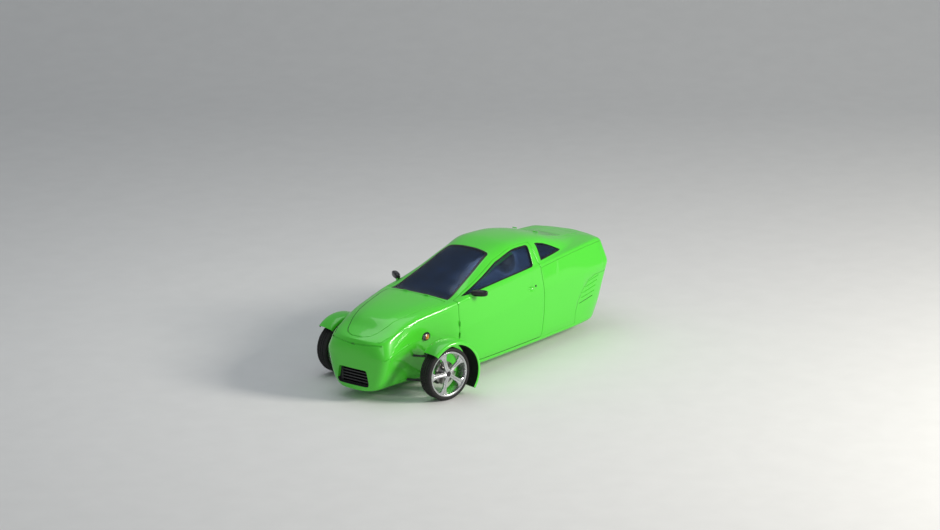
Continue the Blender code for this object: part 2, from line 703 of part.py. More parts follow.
def side_cutter(name, outline, move=0.0, side=1, pillar=None, lean=0.0):
    """A side outline as a cutter through one side of the body, or through both.

    The front pillar's plan line, moved out by pillar, limits it towards the windshield.
    """
    low = {1: MIDDLE_CLEAR, -1: -SIDE_REACH, 0: -SIDE_REACH}[side]
    high = {1: SIDE_REACH, -1: -MIDDLE_CLEAR, 0: SIDE_REACH}[side]
    made = slab(name, set_in(outline, move), low, high, "Y")
    if lean:
        lean_cut(made, lean, DOOR_FRONT_X, DOOR_REAR_X, lambda place: abs(place.y) - DOOR_HINGE[1])
    if pillar is not None:
        plan = [(x, side * (y + pillar)) for x, y in PILLAR_LINE]
        plan += [(PILLAR_LINE[-1][0], side * SIDE_REACH * 1.1), (PILLAR_LINE[0][0], side * SIDE_REACH * 1.1)]
        boolean(made, "INTERSECT", slab(name + "_plan", plan, 0.0, ROOF_CLEAR_Z, "Z"))
    return made


def plan_cutter(name, outline, move=0.0, lean=0.0):
    """A plan outline as a cutter through the roof."""
    made = slab(name, set_in(mirrored(outline), move), LID_LOW_Z, ROOF_CLEAR_Z, "Z")
    if lean:
        lean_cut(made, lean, outline[0][0], outline[-1][0], lambda place: place.z - section_sizes(place.x)["top_z"])
    return made


def side_outline(low_z):
    """The door's outline with its bottom edge at another height."""
    return [(x, low_z if z == DOOR_LOW_Z else z) for x, z in DOOR_OUTLINE]


# Cutters for the panels
door_hole = side_cutter("door_hole", DOOR_OUTLINE, -SHUT_GAP, pillar=-SHUT_GAP, lean=DOOR_LEAN)
# The right side has no door, so its panel stands on the tray
right_hole = side_cutter("right_hole", side_outline(0.0), -SEAM_GAP, side=-1, pillar=-SEAM_GAP)
hood_hole = plan_cutter("hood_hole", HOOD_OUTLINE, -SHUT_GAP, HOOD_LEAN)
windshield_hole = plan_cutter("windshield_hole", WINDSHIELD_OUTLINE)
hatch_hole = plan_cutter("hatch_hole", HATCH_OUTLINE, -SHUT_GAP, HATCH_LEAN)
quarter_window_hole = side_cutter("quarter_window_hole", QUARTER_WINDOW, side=0)
mouth_hole = slab("mouth_hole", MOUTH, NOSE_X - MOUTH_DEPTH, NOSE_X + END_REACH, "X")

FOOT_Z = TRAY_TOP + SEAT_GAP
FAR_NOSE_X = NOSE_X + END_REACH
FAR_TAIL_X = TAIL_X - END_REACH
HALF_SEAM = SEAM_GAP / 2
tray_region = block("tray_region", (FAR_TAIL_X, -SIDE_REACH, 0), (FAR_NOSE_X, SIDE_REACH, TRAY_TOP))
above_tray = block("above_tray", (FAR_TAIL_X, -SIDE_REACH, FOOT_Z), (FAR_NOSE_X, SIDE_REACH, ROOF_CLEAR_Z))
front_region = side_cutter("front_region", (
    (SHELL_REAR_X, FOOT_Z), (FAR_NOSE_X, FOOT_Z), (FAR_NOSE_X, ROOF_CLEAR_Z), (COWL_X, ROOF_CLEAR_Z),
    (COWL_X, COWL_Z), (SHELL_REAR_X, COWL_Z),
), side=0)
roof_region = side_cutter("roof_region", (
    (COWL_X - SEAM_GAP, ROOF_CLEAR_Z), (COWL_X - SEAM_GAP, COWL_Z + SEAM_GAP),
    (QUARTER_FRONT_X, COWL_Z + SEAM_GAP), (QUARTER_FRONT_X, BELT_CUT[0][1] + HALF_SEAM),
    *[(x, z + HALF_SEAM) for x, z in BELT_CUT], (FAR_TAIL_X, ROOF_CLEAR_Z),
), side=0)
belt_of_quarter = [(x, z - HALF_SEAM) for x, z in BELT_CUT if x >= TAIL_PANEL_X]
quarter_outline = (
    (QUARTER_FRONT_X, FOOT_Z), (TAIL_PANEL_X, FOOT_Z), *reversed(belt_of_quarter),
    (QUARTER_FRONT_X, BELT_CUT[0][1] - HALF_SEAM),
)
tail_front_x = TAIL_PANEL_X - SEAT_GAP
tail_outline = (
    (tail_front_x, FOOT_Z), (FAR_TAIL_X, FOOT_Z), (FAR_TAIL_X, BELT_CUT[-1][1] - HALF_SEAM),
    (tail_front_x, BELT_CUT[-2][1] - HALF_SEAM),
)
quarter_left_region = side_cutter("quarter_left_region", quarter_outline)
quarter_right_region = side_cutter("quarter_right_region", quarter_outline, side=-1)
tail_region = side_cutter("tail_region", tail_outline, side=0)
tail_low_region = side_cutter("tail_low_region", TAIL_CUT, side=0)
tail_low_hole = side_cutter("tail_low_hole", TAIL_CUT, -SEAM_GAP, side=0)


# Lamps
def flip(place, side):
    """A place on the left, or its mirror image on the right."""
    return (place[0], place[1] * side, place[2])


def egg(name, centre, size, finish=None, steps=16):
    """A ball stretched to three half-sizes."""
    def fill(work):
        bmesh.ops.create_uvsphere(work, u_segments=steps, v_segments=steps // 2, radius=1.0)
        bmesh.ops.scale(work, vec=size, verts=work.verts)
        bmesh.ops.translate(work, vec=centre, verts=work.verts)

    return mesh_from(name, fill, finish)


lamp_holes = []
tail_lamp_holes = []
for side, word in SIDES:
    smooth(egg("lamp_" + word, flip(LAMP_AT, side), LAMP_SIZE, "lamp"))
    lamp_holes.append(egg("lamp_hole_" + word, flip(LAMP_AT, side), [size + SEAT_GAP for size in LAMP_SIZE]))
    outline = [(y * side, z) for y, z in TAIL_LAMP]
    lens = slab("tail_lamp_region_" + word, outline, FAR_TAIL_X, TAIL_PANEL_X, "X")
    skin("tail_lamp_" + word, [lens], finish="red_lens")
    hole = set_in(outline, -SEAT_GAP)
    tail_lamp_holes.append(slab("tail_lamp_hole_" + word, hole, FAR_TAIL_X, TAIL_PANEL_X, "X"))

# Body panels
slot_front = REAR_AXLE_X + SLOT_X
wheel_slot = block(
    "wheel_slot", (REAR_AXLE_X - SLOT_X, -SLOT_Y, 0), (slot_front + MIDDLE_CLEAR, SLOT_Y, SLOT_TOP))
behind_slot = block(
    "behind_the_slot", (FAR_TAIL_X, -SIDE_REACH, 0), (slot_front, SIDE_REACH, ROOF_CLEAR_Z))
ahead_of_slot = block(
    "ahead_of_the_slot", (slot_front + SEAT_GAP, -SIDE_REACH, 0), (FAR_NOSE_X, SIDE_REACH, ROOF_CLEAR_Z))
skin("floor_tray", [tray_region, ahead_of_slot])
skin("tail_tray", [tray_region, behind_slot], [wheel_slot])
front_holes = [door_hole, right_hole, hood_hole, windshield_hole, mouth_hole, *lamp_holes]
front_shell = skin("front_shell", [front_region], front_holes)
hood = skin("hood", [plan_cutter("hood_region", HOOD_OUTLINE, lean=HOOD_LEAN)])
roof_shell = skin(
    "roof_shell", [roof_region], [door_hole, right_hole, windshield_hole, hatch_hole, quarter_window_hole])
skin("quarter_left", [quarter_left_region], [door_hole, tail_low_hole])
skin("quarter_right", [quarter_right_region], [right_hole, tail_low_hole])
skin("tail_upper", [tail_region], [tail_low_hole, hatch_hole, *tail_lamp_holes])
skin("tail_lower", [tail_low_region, above_tray])

door_region = side_cutter("door_region", DOOR_OUTLINE, pillar=0.0, lean=DOOR_LEAN)
door_window_hole = side_cutter("door_window_hole", DOOR_WINDOW, pillar=DOOR_FRAME)
door = skin("door_left", [door_region], [door_window_hole])
side_region = side_cutter("side_region", side_outline(FOOT_Z), side=-1, pillar=0.0)
side_window_hole = side_cutter("side_window_hole", DOOR_WINDOW, side=-1, pillar=DOOR_FRAME)
skin("side_right", [side_region], [side_window_hole])
hatch_window_hole = plan_cutter("hatch_window_hole", HATCH_WINDOW)
hatch_region = plan_cutter("hatch_region", HATCH_OUTLINE, lean=HATCH_LEAN)
hatch = skin("hatch", [hatch_region], [hatch_window_hole])

# Glass
pane("windshield", plan_cutter("windshield_region", WINDSHIELD_OUTLINE, SEAT_GAP))
pane("hatch_glass", plan_cutter("hatch_glass_region", HATCH_WINDOW, SEAT_GAP))
for side, word in SIDES:
    pane("side_glass_" + word, side_cutter(
        "side_glass_region_" + word, DOOR_WINDOW, SEAT_GAP, side, pillar=DOOR_FRAME + SEAT_GAP))
    pane("quarter_glass_" + word, side_cutter("quarter_glass_region_" + word, QUARTER_WINDOW, SEAT_GAP, side))


# Hinges
def hinge(word, at, along, across, inward, fixed, moving):
    """A barrel hinge on a fixed and a moving piece, which share its pin line."""
    at, along, across, inward = (Vector(vector) for vector in (at, along, across, inward))
    for piece, way in ((fixed, -1), (moving, 1)):
        near = at + along * way * SEAT_GAP / 2
        far = at + along * way * HINGE_LENGTH / 2
        boolean(piece, "UNION", cylinder(word + "_barrel_" + piece.name, HINGE_R, near, far, steps=12))
        leaf_end = far + across * way * LEAF_REACH + inward * LEAF_DEPTH
        boolean(piece, "UNION", block(word + "_leaf_" + piece.name, near, leaf_end))


for i, height in enumerate(DOOR_HINGE_Z):
    hinge(f"door_hinge_{i}", (*DOOR_HINGE, height), (0, 0, 1), (-1, 0, 0), (0, -1, 0), front_shell, door)
def lid_pin_z(x):
    return section_sizes(x)["top_z"] + LID_HINGE_RISE


lids = (
    # lid, hinge x, way from the hinge to the lid, what carries it
    (hood, HOOD_HINGE_X, 1, front_shell),
    (hatch, HATCH_HINGE_X, -1, roof_shell),
)
for lid, x, way, body in lids:
    for side, word in SIDES:
        hinge("hinge_" + word, (x, LID_HINGE_Y * side, lid_pin_z(x)), (0, side, 0), (way, 0, 0), (0, 0, -1), body, lid)

# Grille
grille = slab("grille", set_in(MOUTH, SEAT_GAP), GRILLE_X, GRILLE_X + GRILLE_THICK, "X", "black_plastic")
mouth_low = min(z for _, z in MOUTH) + GRILLE_FRAME
mouth_high = max(z for _, z in MOUTH) - GRILLE_FRAME
slot_pitch = (mouth_high - mouth_low) / GRILLE_BARS
for i in range(GRILLE_BARS):
    low = mouth_low + slot_pitch * i
    slot = block(
        f"grille_slot_{i}", (GRILLE_X - GRILLE_THICK, -GRILLE_SLOT_Y, low),
        (GRILLE_X + GRILLE_THICK * 2, GRILLE_SLOT_Y, low + slot_pitch * GRILLE_SLOT_SHARE))
    boolean(grille, "DIFFERENCE", slot)

# Walls inside the body
firewall = block(
    "firewall", (FIREWALL_X, -SIDE_REACH, 0), (FIREWALL_X + FIREWALL_THICK, SIDE_REACH, FIREWALL_TOP),
    "floor_black")
boolean(firewall, "INTERSECT", INSIDE)
bulkhead = slab("rear_bulkhead", (
    (BULKHEAD_X, 0.0), (BULKHEAD_X, SHELF_TOP), (FAR_TAIL_X, SHELF_TOP), (FAR_TAIL_X, SHELF_Z),
    (BULKHEAD_X - BULKHEAD_THICK, SHELF_Z), (BULKHEAD_X - BULKHEAD_THICK, 0.0),
), -SIDE_REACH, SIDE_REACH, "Y", "floor_black")
boolean(bulkhead, "INTERSECT", INSIDE)

# Engine and seats
block("engine_block", ENGINE_LOW, ENGINE_HIGH, "cast_metal", bevel=ENGINE_ROUNDING)
rear_outline = [(BULKHEAD_X + ahead, z) for ahead, z in REAR_SEAT]
for name, outline in (("front_seat", FRONT_SEAT), ("rear_seat", rear_outline)):
    slab(name, outline, -SEAT_Y, SEAT_Y, "Y", "seat_cloth")

# Dashboard with the steering column
steering_at = Vector(STEERING_AT)
column_way = Vector((-math.cos(STEERING_TILT), 0.0, math.sin(STEERING_TILT)))
dash = slab("dashboard", DASH, -SIDE_REACH, SIDE_REACH, "Y", "black_plastic")
boolean(dash, "INTERSECT", CLEAR_INSIDE)
boolean(dash, "UNION", cylinder(
    "column_bar", COLUMN_R, steering_at - column_way * (BOSS_HALF + SEAT_GAP),
    steering_at - column_way * COLUMN_LENGTH))

# Steering wheel, turned about its own Z axis
grip = [
    (STEERING_R + STEERING_GRIP * math.cos(turn), STEERING_GRIP * math.sin(turn))
    for turn in [-math.tau * i / 6 for i in range(6)]
]
steering = turned("steering_wheel", grip, "black_plastic", steps=24)
steering.matrix_world = (
    Matrix.Translation(steering_at) @ column_way.to_track_quat("Z", "X").to_matrix().to_4x4())
boss = cylinder("steering_boss", BOSS_R, (0, 0, -BOSS_HALF), (0, 0, BOSS_HALF))
boss.matrix_world = steering.matrix_world.copy()
spoke_start, spoke_width, spoke_thick = STEERING_SPOKE
for i in range(STEERING_SPOKES):
    bar = block(
        f"steering_spoke_{i}", (spoke_start, -spoke_width / 2, -spoke_thick / 2),
        (STEERING_R, spoke_width / 2, spoke_thick / 2))
    bar.data.transform(Matrix.Rotation(math.tau * i / STEERING_SPOKES, 4, "Z"))
    bar.matrix_world = steering.matrix_world.copy()
    boolean(boss, "UNION", bar)
boolean(steering, "UNION", boss)

# Mirrors
for side, word in SIDES:
    half = Vector(MIRROR_SIZE) / 2
    mirror = block("mirror_" + word, -half, half, "black_plastic", bevel=MIRROR_ROUNDING)
    mirror.matrix_world = (
        Matrix.Translation(flip(MIRROR_AT, side)) @ Matrix.Rotation(MIRROR_SWEEP * side, 4, "Z"))
    boolean(mirror, "UNION", tube("stalk_" + word, [flip(point, side) for point in STALK], STALK_R))
    boolean(mirror, "DIFFERENCE", AROUND)


# Wheels
def wheel(word, parent, place, side, bore_end=BORE_END):
    """A tyre and a rim with its hub, both about one axis that points outward."""
    inner_half = [(radius, -out) for radius, out in reversed(TYRE_SECTION)]
    tyre = turned("tyre_" + word, [*TYRE_SECTION, *inner_half], "rubber")
    rim = turned("rim_" + word, RIM_SECTION, "alloy")
    star = []
    for i in range(SPOKES):
        flanks = [(radius, -half) for radius, half in SPOKE_OUTLINE]
        flanks += [(radius, half) for radius, half in reversed(SPOKE_OUTLINE)]
        for radius, across in flanks:
            angle = math.tau * i / SPOKES + math.atan2(across, radius)
            reach = min(math.hypot(radius, across), SPOKE_END_R)
            star.append((reach * math.cos(angle), reach * math.sin(angle)))
    spokes = slab("spokes_" + word, star, SPOKE_FACE - SPOKE_THICK, SPOKE_FACE, "Z")
    hub = cylinder("hub_" + word, HUB_R, (0, 0, -HUB_BACK), (0, 0, HUB_FACE))
    bore = cylinder("bore_" + word, STUB_R + PIN_GAP, (0, 0, -TYRE_W), (0, 0, bore_end))
    boolean(rim, "UNION", spokes)
    boolean(rim, "UNION", hub)
    boolean(rim, "DIFFERENCE", bore)
    for piece in (tyre, rim, spokes, hub, bore):
        piece.parent = parent
        piece.matrix_local = Matrix.Translation(place) @ Matrix.Rotation(-math.pi / 2 * side, 4, "X")


def fender(word, parent, side):
    """A crowned strip bent around the tyre, with the pad that its post carries."""
    section = [(FENDER_R + rise, FENDER_W / 2 * share) for share, rise in FENDER_SECTION]
    made = turned(
        "fender_" + word, section, "green_paint", FENDER_STEPS, FENDER_REAR - FENDER_FRONT, closed=False)
    sheet = made.modifiers.new("sheet", "SOLIDIFY")
    sheet.thickness = FENDER_THICK
    sheet.offset = FENDER_SHEET_SIDE
    sheet.use_even_offset = True
    made.parent = parent
    made.matrix_local = (
        Matrix.Translation((-FENDER_BACK, side * (WHEEL_Y - KINGPIN_Y + FENDER_OUT), TYRE_R))
        @ Matrix.Rotation(math.pi / 2, 4, "X") @ Matrix.Rotation(FENDER_FRONT, 4, "Z"))
    pad_x, pad_y, pad_z = PAD_SIZE
    pad = block(
        "fender_pad_" + word, (POST_X - pad_x / 2, side * POST_Y - pad_y / 2, PAD_LOW_Z),
        (POST_X + pad_x / 2, side * POST_Y + pad_y / 2, PAD_LOW_Z + pad_z))
    pad.parent = parent
    boolean(made, "UNION", pad)


for side, word in SIDES:
    pivot = bpy.data.objects.new("steer_" + word, None)
    PARTS.objects.link(pivot)
    pivot.location = (FRONT_AXLE_X, side * KINGPIN_Y, 0.0)
    pivot.rotation_euler = (0.0, 0.0, STEER_AT_REST)
    out = side * (WHEEL_Y - KINGPIN_Y)
    wheel("front_" + word, pivot, (0.0, out, TYRE_R), side)
    fender(word, pivot, side)
    half_x, half_y = (size / 2 for size in KNUCKLE_SIZE)
    knuckle = block(
        "knuckle_" + word, (-half_x, -half_y, KNUCKLE_LOW_Z), (half_x, half_y, KNUCKLE_HIGH_Z), "cast_metal")
    stub = cylinder("stub_" + word, STUB_R, (0, 0, TYRE_R), (0, out + side * STUB_END, TYRE_R))
    post_y = side * POST_Y
    post = tube("fender_post_" + word, (
        (0.0, 0.0, KNUCKLE_HIGH_Z - POST_ROOT), (POST_X, post_y, KNUCKLE_HIGH_Z - POST_BEND),
        (POST_X, post_y, PAD_LOW_Z - SEAT_GAP),
    ), POST_R)
    for piece in (knuckle, stub, post):
        piece.parent = pivot
    boolean(knuckle, "UNION", stub)
    boolean(knuckle, "UNION", post)
    for level, height in (("lower", LOWER_ARM_Z), ("upper", UPPER_ARM_Z)):
        ball = (FRONT_AXLE_X, side * KINGPIN_Y, height)
        arm = tube(level + "_arm_" + word, (
            (FRONT_AXLE_X - ARM_SPREAD, side * ARM_ROOT_Y, height), ball,
            (FRONT_AXLE_X + ARM_SPREAD, side * ARM_ROOT_Y, height),
        ), ARM_R, "dark_steel")
        eye = cylinder(
            f"eye_{level}_{word}", BALL_R, (ball[0], ball[1], height - BALL_H / 2),
            (ball[0], ball[1], height + BALL_H / 2))
        boolean(arm, "UNION", eye)
        boolean(arm, "DIFFERENCE", AROUND)

# Rear wheel on its swing arm
rear_pivot = bpy.data.objects.new("rear_axle", None)
PARTS.objects.link(rear_pivot)
rear_pivot.location = (REAR_AXLE_X, 0.0, TYRE_R)
wheel("rear", rear_pivot, (0.0, 0.0, 0.0), 1, bore_end=TYRE_W)
cross_x = PIVOT_X - PIVOT_PAD[0]
arm_left = [
    (REAR_AXLE_X - SWING_END, SWING_Y, TYRE_R), (REAR_AXLE_X + SWING_RISE, SWING_Y, TYRE_R),
    (cross_x - SWING_TURN, SWING_Y, PIVOT_Z), (cross_x, SWING_Y - SWING_TURN, PIVOT_Z),
]
arm_right = [flip(point, -1) for point in reversed(arm_left)]
swing = tube("swing_arm", arm_left + arm_right, SWING_R, "dark_steel")
boolean(swing, "UNION", cylinder(
    "axle_bar", STUB_R, (REAR_AXLE_X, -SWING_Y, TYRE_R), (REAR_AXLE_X, SWING_Y, TYRE_R)))
pad_x, pad_y, pad_z = PIVOT_PAD
boolean(swing, "UNION", block(
    "pivot_pad", (PIVOT_X - pad_x, -pad_y / 2, PIVOT_Z - pad_z / 2), (PIVOT_X, pad_y / 2, PIVOT_Z + pad_z / 2)))

# Empties on the lids' and the door's pin lines, which carry what turns with them
hinged = (
    ("door_pivot", (*DOOR_HINGE, DOOR_HINGE_Z[0]), ("door_left", "side_glass_left", "mirror_left")),
    ("hood_pivot", (HOOD_HINGE_X, 0.0, lid_pin_z(HOOD_HINGE_X)), ("hood",)),
    ("hatch_pivot", (HATCH_HINGE_X, 0.0, lid_pin_z(HATCH_HINGE_X)), ("hatch", "hatch_glass")),
)
for name, place, pieces in hinged:
    pivot = bpy.data.objects.new(name, None)
    PARTS.objects.link(pivot)
    pivot.location = place
    for piece in pieces:
        PARTS.objects[piece].parent = pivot
        PARTS.objects[piece].matrix_parent_inverse = Matrix.Translation(place).inverted()

# Smooth shading on the body, and the origin under the bounding box
for made in PARTS.objects:
    if made.type == "MESH" and made.name.split("_")[0] in ROUNDED:
        smooth(made, 25)
for made in [*PARTS.objects, *CUTTERS.objects]:
    if made.parent is None:
        made.location += ORIGIN_SHIFT
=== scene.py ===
"""Looks of the enclosed three-wheeled car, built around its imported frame.

Metres, in the frame's directions. Pieces are made about the car's middle line, as the CAD
model is, and moved by ORIGIN_SHIFT when they are settled.
"""
import math

import bmesh
import bpy
import numpy as np
from mathutils import Matrix, Vector
from mathutils.bvhtree import BVHTree
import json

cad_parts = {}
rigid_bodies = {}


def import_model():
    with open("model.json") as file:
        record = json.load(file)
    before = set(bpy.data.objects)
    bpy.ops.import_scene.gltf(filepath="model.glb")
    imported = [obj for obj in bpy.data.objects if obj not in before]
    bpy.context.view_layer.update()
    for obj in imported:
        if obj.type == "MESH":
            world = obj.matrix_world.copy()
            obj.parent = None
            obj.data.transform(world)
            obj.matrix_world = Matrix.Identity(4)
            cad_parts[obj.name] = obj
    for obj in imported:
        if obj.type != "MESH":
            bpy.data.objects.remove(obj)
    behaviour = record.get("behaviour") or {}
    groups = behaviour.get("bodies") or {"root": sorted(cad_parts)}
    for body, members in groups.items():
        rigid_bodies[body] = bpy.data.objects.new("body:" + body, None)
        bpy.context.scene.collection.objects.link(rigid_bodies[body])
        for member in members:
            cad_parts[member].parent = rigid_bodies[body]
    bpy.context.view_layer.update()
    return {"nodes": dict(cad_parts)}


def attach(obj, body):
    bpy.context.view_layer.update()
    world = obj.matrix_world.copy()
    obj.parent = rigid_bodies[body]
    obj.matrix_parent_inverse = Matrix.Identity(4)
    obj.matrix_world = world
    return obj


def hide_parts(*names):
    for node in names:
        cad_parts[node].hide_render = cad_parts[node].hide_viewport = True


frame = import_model()

# Clearances
SEAT_GAP = 0.0003            # between pieces that touch
SHUT_GAP = 0.006             # around a door or a lid
SEAM_GAP = 0.003             # along a seam between fixed panels
DOOR_CLEARANCE = 0.012       # between a door's inner face and what lies inside

# Main sizes
NOSE_X = 2.095
TAIL_X = -2.015
WHEELBASE = 2.794
FRONT_AXLE_X = 1.4
REAR_AXLE_X = FRONT_AXLE_X - WHEELBASE
WHEEL_Y = 0.763              # middle plane of a front wheel, straight ahead
KINGPIN_Y = 0.64
STEER_AT_REST = math.radians(-11.5)   # both front wheels point a little to the right

SIDES = ((1, "left"), (-1, "right"))
SIDE_BODY = {1: "door_left", -1: "root"}   # what a side's window and mirror ride on

# Body wall
WALL = 0.045
GLASS_INSET = 0.006
GLASS_THICK = 0.005
FLOOR_Z = 0.125              # underside of the body
TRAY_TOP = 0.179             # the side panels stand on the floor tray here
DECK_Z = FLOOR_Z + WALL + SEAT_GAP   # what stands inside the tray stands here

# Body sections from tail to nose, in the left half
STATION_COLUMNS = (
    "x", "top_z", "rail_y", "rail_z", "base_y", "base_z", "belt_y", "belt_z",
    "crease_y", "crease_z", "low_y", "low_z", "sill_y",
)
STATIONS = (
    (TAIL_X, 1.072, 0.2, 1.068, 0.33, 1.062, 0.44, 1.035, 0.52, 0.8, 0.5, 0.4, 0.43),
    (-1.8, 1.095, 0.2, 1.093, 0.33, 1.09, 0.47, 1.078, 0.562, 0.785, 0.54, 0.4, 0.47),
    (-1.5, 1.13, 0.25, 1.118, 0.36, 1.092, 0.51, 1.08, 0.575, 0.78, 0.56, 0.4, 0.52),
    (-1.2, 1.2, 0.33, 1.17, 0.445, 1.087, 0.54, 1.072, 0.58, 0.765, 0.565, 0.4, 0.54),
    (-0.9, 1.287, 0.385, 1.235, 0.5, 1.07, 0.552, 1.056, 0.583, 0.75, 0.57, 0.4, 0.545),
    (-0.6, 1.335, 0.415, 1.272, 0.528, 1.05, 0.553, 1.035, 0.585, 0.735, 0.575, 0.4, 0.55),
    (-0.3, 1.347, 0.414, 1.286, 0.533, 1.03, 0.553, 1.012, 0.585, 0.71, 0.575, 0.4, 0.55),
    (0.05, 1.29, 0.372, 1.228, 0.53, 1.0, 0.55, 0.982, 0.583, 0.675, 0.573, 0.39, 0.55),
    (0.4, 1.163, 0.405, 1.102, 0.524, 0.98, 0.545, 0.962, 0.577, 0.648, 0.567, 0.38, 0.545),
    (0.65, 1.06, 0.43, 1.018, 0.515, 0.965, 0.538, 0.948, 0.568, 0.625, 0.555, 0.38, 0.532),
    (0.9, 0.972, 0.435, 0.945, 0.497, 0.938, 0.526, 0.925, 0.548, 0.6, 0.53, 0.38, 0.505),
    (1.1, 0.957, 0.402, 0.935, 0.46, 0.922, 0.503, 0.9, 0.492, 0.61, 0.455, 0.43, 0.42),
    (1.3, 0.942, 0.362, 0.92, 0.42, 0.903, 0.472, 0.876, 0.456, 0.618, 0.405, 0.48, 0.35),
    (1.5, 0.918, 0.325, 0.893, 0.385, 0.876, 0.44, 0.848, 0.438, 0.606, 0.385, 0.45, 0.32),
    (1.75, 0.862, 0.275, 0.835, 0.34, 0.815, 0.405, 0.782, 0.43, 0.575, 0.37, 0.37, 0.295),
    (1.95, 0.77, 0.235, 0.76, 0.305, 0.748, 0.38, 0.712, 0.44, 0.53, 0.368, 0.26, 0.28),
    (NOSE_X, 0.7, 0.2, 0.695, 0.28, 0.685, 0.36, 0.65, 0.45, 0.5, 0.36, 0.2, 0.27),
)
CORNERS = (
    # how far each corner's rounding reaches, its segments
    (0.4, 10),             # crown
    (0.11, 6),              # rail
    (0.03, 4),              # base
    (0.03, 4),              # belt
    (0.03, 4),              # crease
    (0.15, 6),              # low
    (0.04, 3),              # sill
)
INSET_WAYS = (
    # the way each corner moves when the wall's inner face is made, roof's middle first
    (0.0, -1.0), (0.0, -1.0), (-0.6, -0.85), (-0.95, -0.5), (-1.0, -0.2), (-1.0, 0.0), (-1.0, 0.0),
    (-1.0, 1.0), (0.0, 1.0),
)
CROWN_SHARE = 0.55           # how far out the roof stays level, of the rail's half-width
NOSE_ROUND_X = 1.9         # the plan outline turns in from here to the nose
NOSE_POWER = 3.0
TAIL_ROUND_X = -1.85
TAIL_POWER = 2.8
# How far the end faces lie back at a height: height, distance along X
NOSE_RAKE = ((0.1, -0.02), (0.2, 0.0), (0.55, 0.0), (0.62, -0.005), (0.7, -0.03), (0.8, -0.09))
TAIL_RAKE = (
    (0.1, 0.21), (0.25, 0.18), (0.5, 0.12), (0.7, 0.04), (0.78, 0.0), (0.92, 0.0), (1.0, 0.02),
    (1.08, 0.08),
)
RAKE_REACH = 0.45            # the rake fades out this far in from each end
STATION_STEP = 0.05
END_STEPS = 12

# Cutters run past the body's sides, roof and middle by these
SIDE_REACH = 1.0
MIDDLE_CLEAR = 0.05
ROOF_CLEAR_Z = 1.6
LID_LOW_Z = 0.6
END_REACH = 0.1

# Side outlines, x and z
DOOR_FRONT_X = 0.885
DOOR_REAR_X = -0.6
DOOR_LOW_Z = 0.185
DOOR_OUTLINE = (
    (DOOR_FRONT_X, DOOR_LOW_Z), (DOOR_FRONT_X, 1.005), (0.64, 1.082),
    (0.35, 1.172), (0.15, 1.23), (-0.03, 1.276), (-0.29, 1.306), (-0.54, 1.3), (-0.592, 1.276),
    (-0.582, 1.02), (-0.612, 0.75), (-0.622, 0.45), (-0.605, 0.22), (-0.58, DOOR_LOW_Z),
)
DOOR_WINDOW = (
    (0.815, 0.96), (0.7, 1.052), (0.35, 1.145), (0.09, 1.208), (-0.065, 1.248),
    (-0.29, 1.277), (-0.48, 1.272), (-0.515, 1.252), (-0.48, 1.055), (-0.455, 1.038),
)
DOOR_FRAME = 0.022           # the door's frame beside the front pillar
QUARTER_WINDOW = (
    (-0.66, 1.25), (-0.7, 1.247), (-0.82, 1.216), (-0.95, 1.162), (-1.085, 1.095),
    (-1.05, 1.089), (-0.64, 1.07),
)
SHELL_REAR_X = 0.8         # the front shell runs back to here, less the door's space
COWL_X = 0.9
COWL_Z = 0.903
QUARTER_FRONT_X = -0.5
TAIL_PANEL_X = TAIL_X + 0.215
BELT_CUT = (
    (-0.6, 1.0), (-0.9, 1.028), (-1.2, 1.043), (-1.5, 1.046), (TAIL_PANEL_X, 1.036),
    (TAIL_X - END_REACH, 1.0),
)
TAIL_CUT = (
    (-1.25, 0.0), (-1.262, 0.2), (-1.26, 0.313), (-1.298, 0.446), (-1.385, 0.563), (-1.489, 0.655),
    (-1.62, 0.69), (TAIL_X - END_REACH, 0.69), (TAIL_X - END_REACH, 0.0),
)

# Plan outlines of the left half, x and y
PILLAR_LINE = (
    (1.2, 0.455), (0.885, 0.452), (0.6, 0.432), (0.35, 0.404), (0.05, 0.366), (-0.3, 0.374),
    (-1.0, 0.374),
)
HOOD_REAR_X = 0.985
HOOD_OUTLINE = (
    (HOOD_REAR_X, 0.408), (1.05, 0.408), (1.3, 0.352), (1.5, 0.315), (1.8, 0.245), (1.93, 0.195),
    (1.985, 0.15), (2.02, 0.07),
)
WINDSHIELD_OUTLINE = (
    (0.955, 0.12), (0.95, 0.3), (0.93, 0.405), (0.06, 0.29), (0.035, 0.268), (0.02, 0.1),
)
HATCH_FRONT_X = -1.02
HATCH_OUTLINE = (
    (HATCH_FRONT_X, 0.262), (-1.09, 0.262), (-1.3, 0.235), (-1.56, 0.19), (-1.78, 0.17),
)
HATCH_WINDOW = ((-1.07, 0.215), (-1.3, 0.19), (-1.48, 0.16))

# The far edge of each opening's cut leans along X, by this much for each metre out of the body,
# so that the door or lid clears it as it starts to swing
DOOR_LEAN = -0.18
HOOD_LEAN = 0.38
HATCH_LEAN = -0.38

# Barrel hinges, each with a knuckle and a leaf on both pieces
HINGE_R = 0.006
HINGE_LENGTH = 0.06
DOOR_HINGE = (DOOR_FRONT_X + SHUT_GAP / 2, 0.555)      # x and y
DOOR_HINGE_Z = (0.56, 0.69)
HOOD_HINGE_X = HOOD_REAR_X - SHUT_GAP / 2
HATCH_HINGE_X = HATCH_FRONT_X + SHUT_GAP / 2
LID_HINGE_RISE = 0.007       # a lid's pin line above the roof's middle line
LID_HINGE_Y = 0.15

# Nose: mouth outline in y and z, and the grille in it
MOUTH_HALF = ((0.192, 0.37), (0.222, 0.215), (0.205, TRAY_TOP))
MOUTH = [(-y, z) for y, z in MOUTH_HALF] + [(y, z) for y, z in reversed(MOUTH_HALF)]
MOUTH_DEPTH = 0.25

# Lamps
LAMP_AT = (1.36, 0.449, 0.64)
LAMP_SIZE = (0.062, 0.03, 0.048)
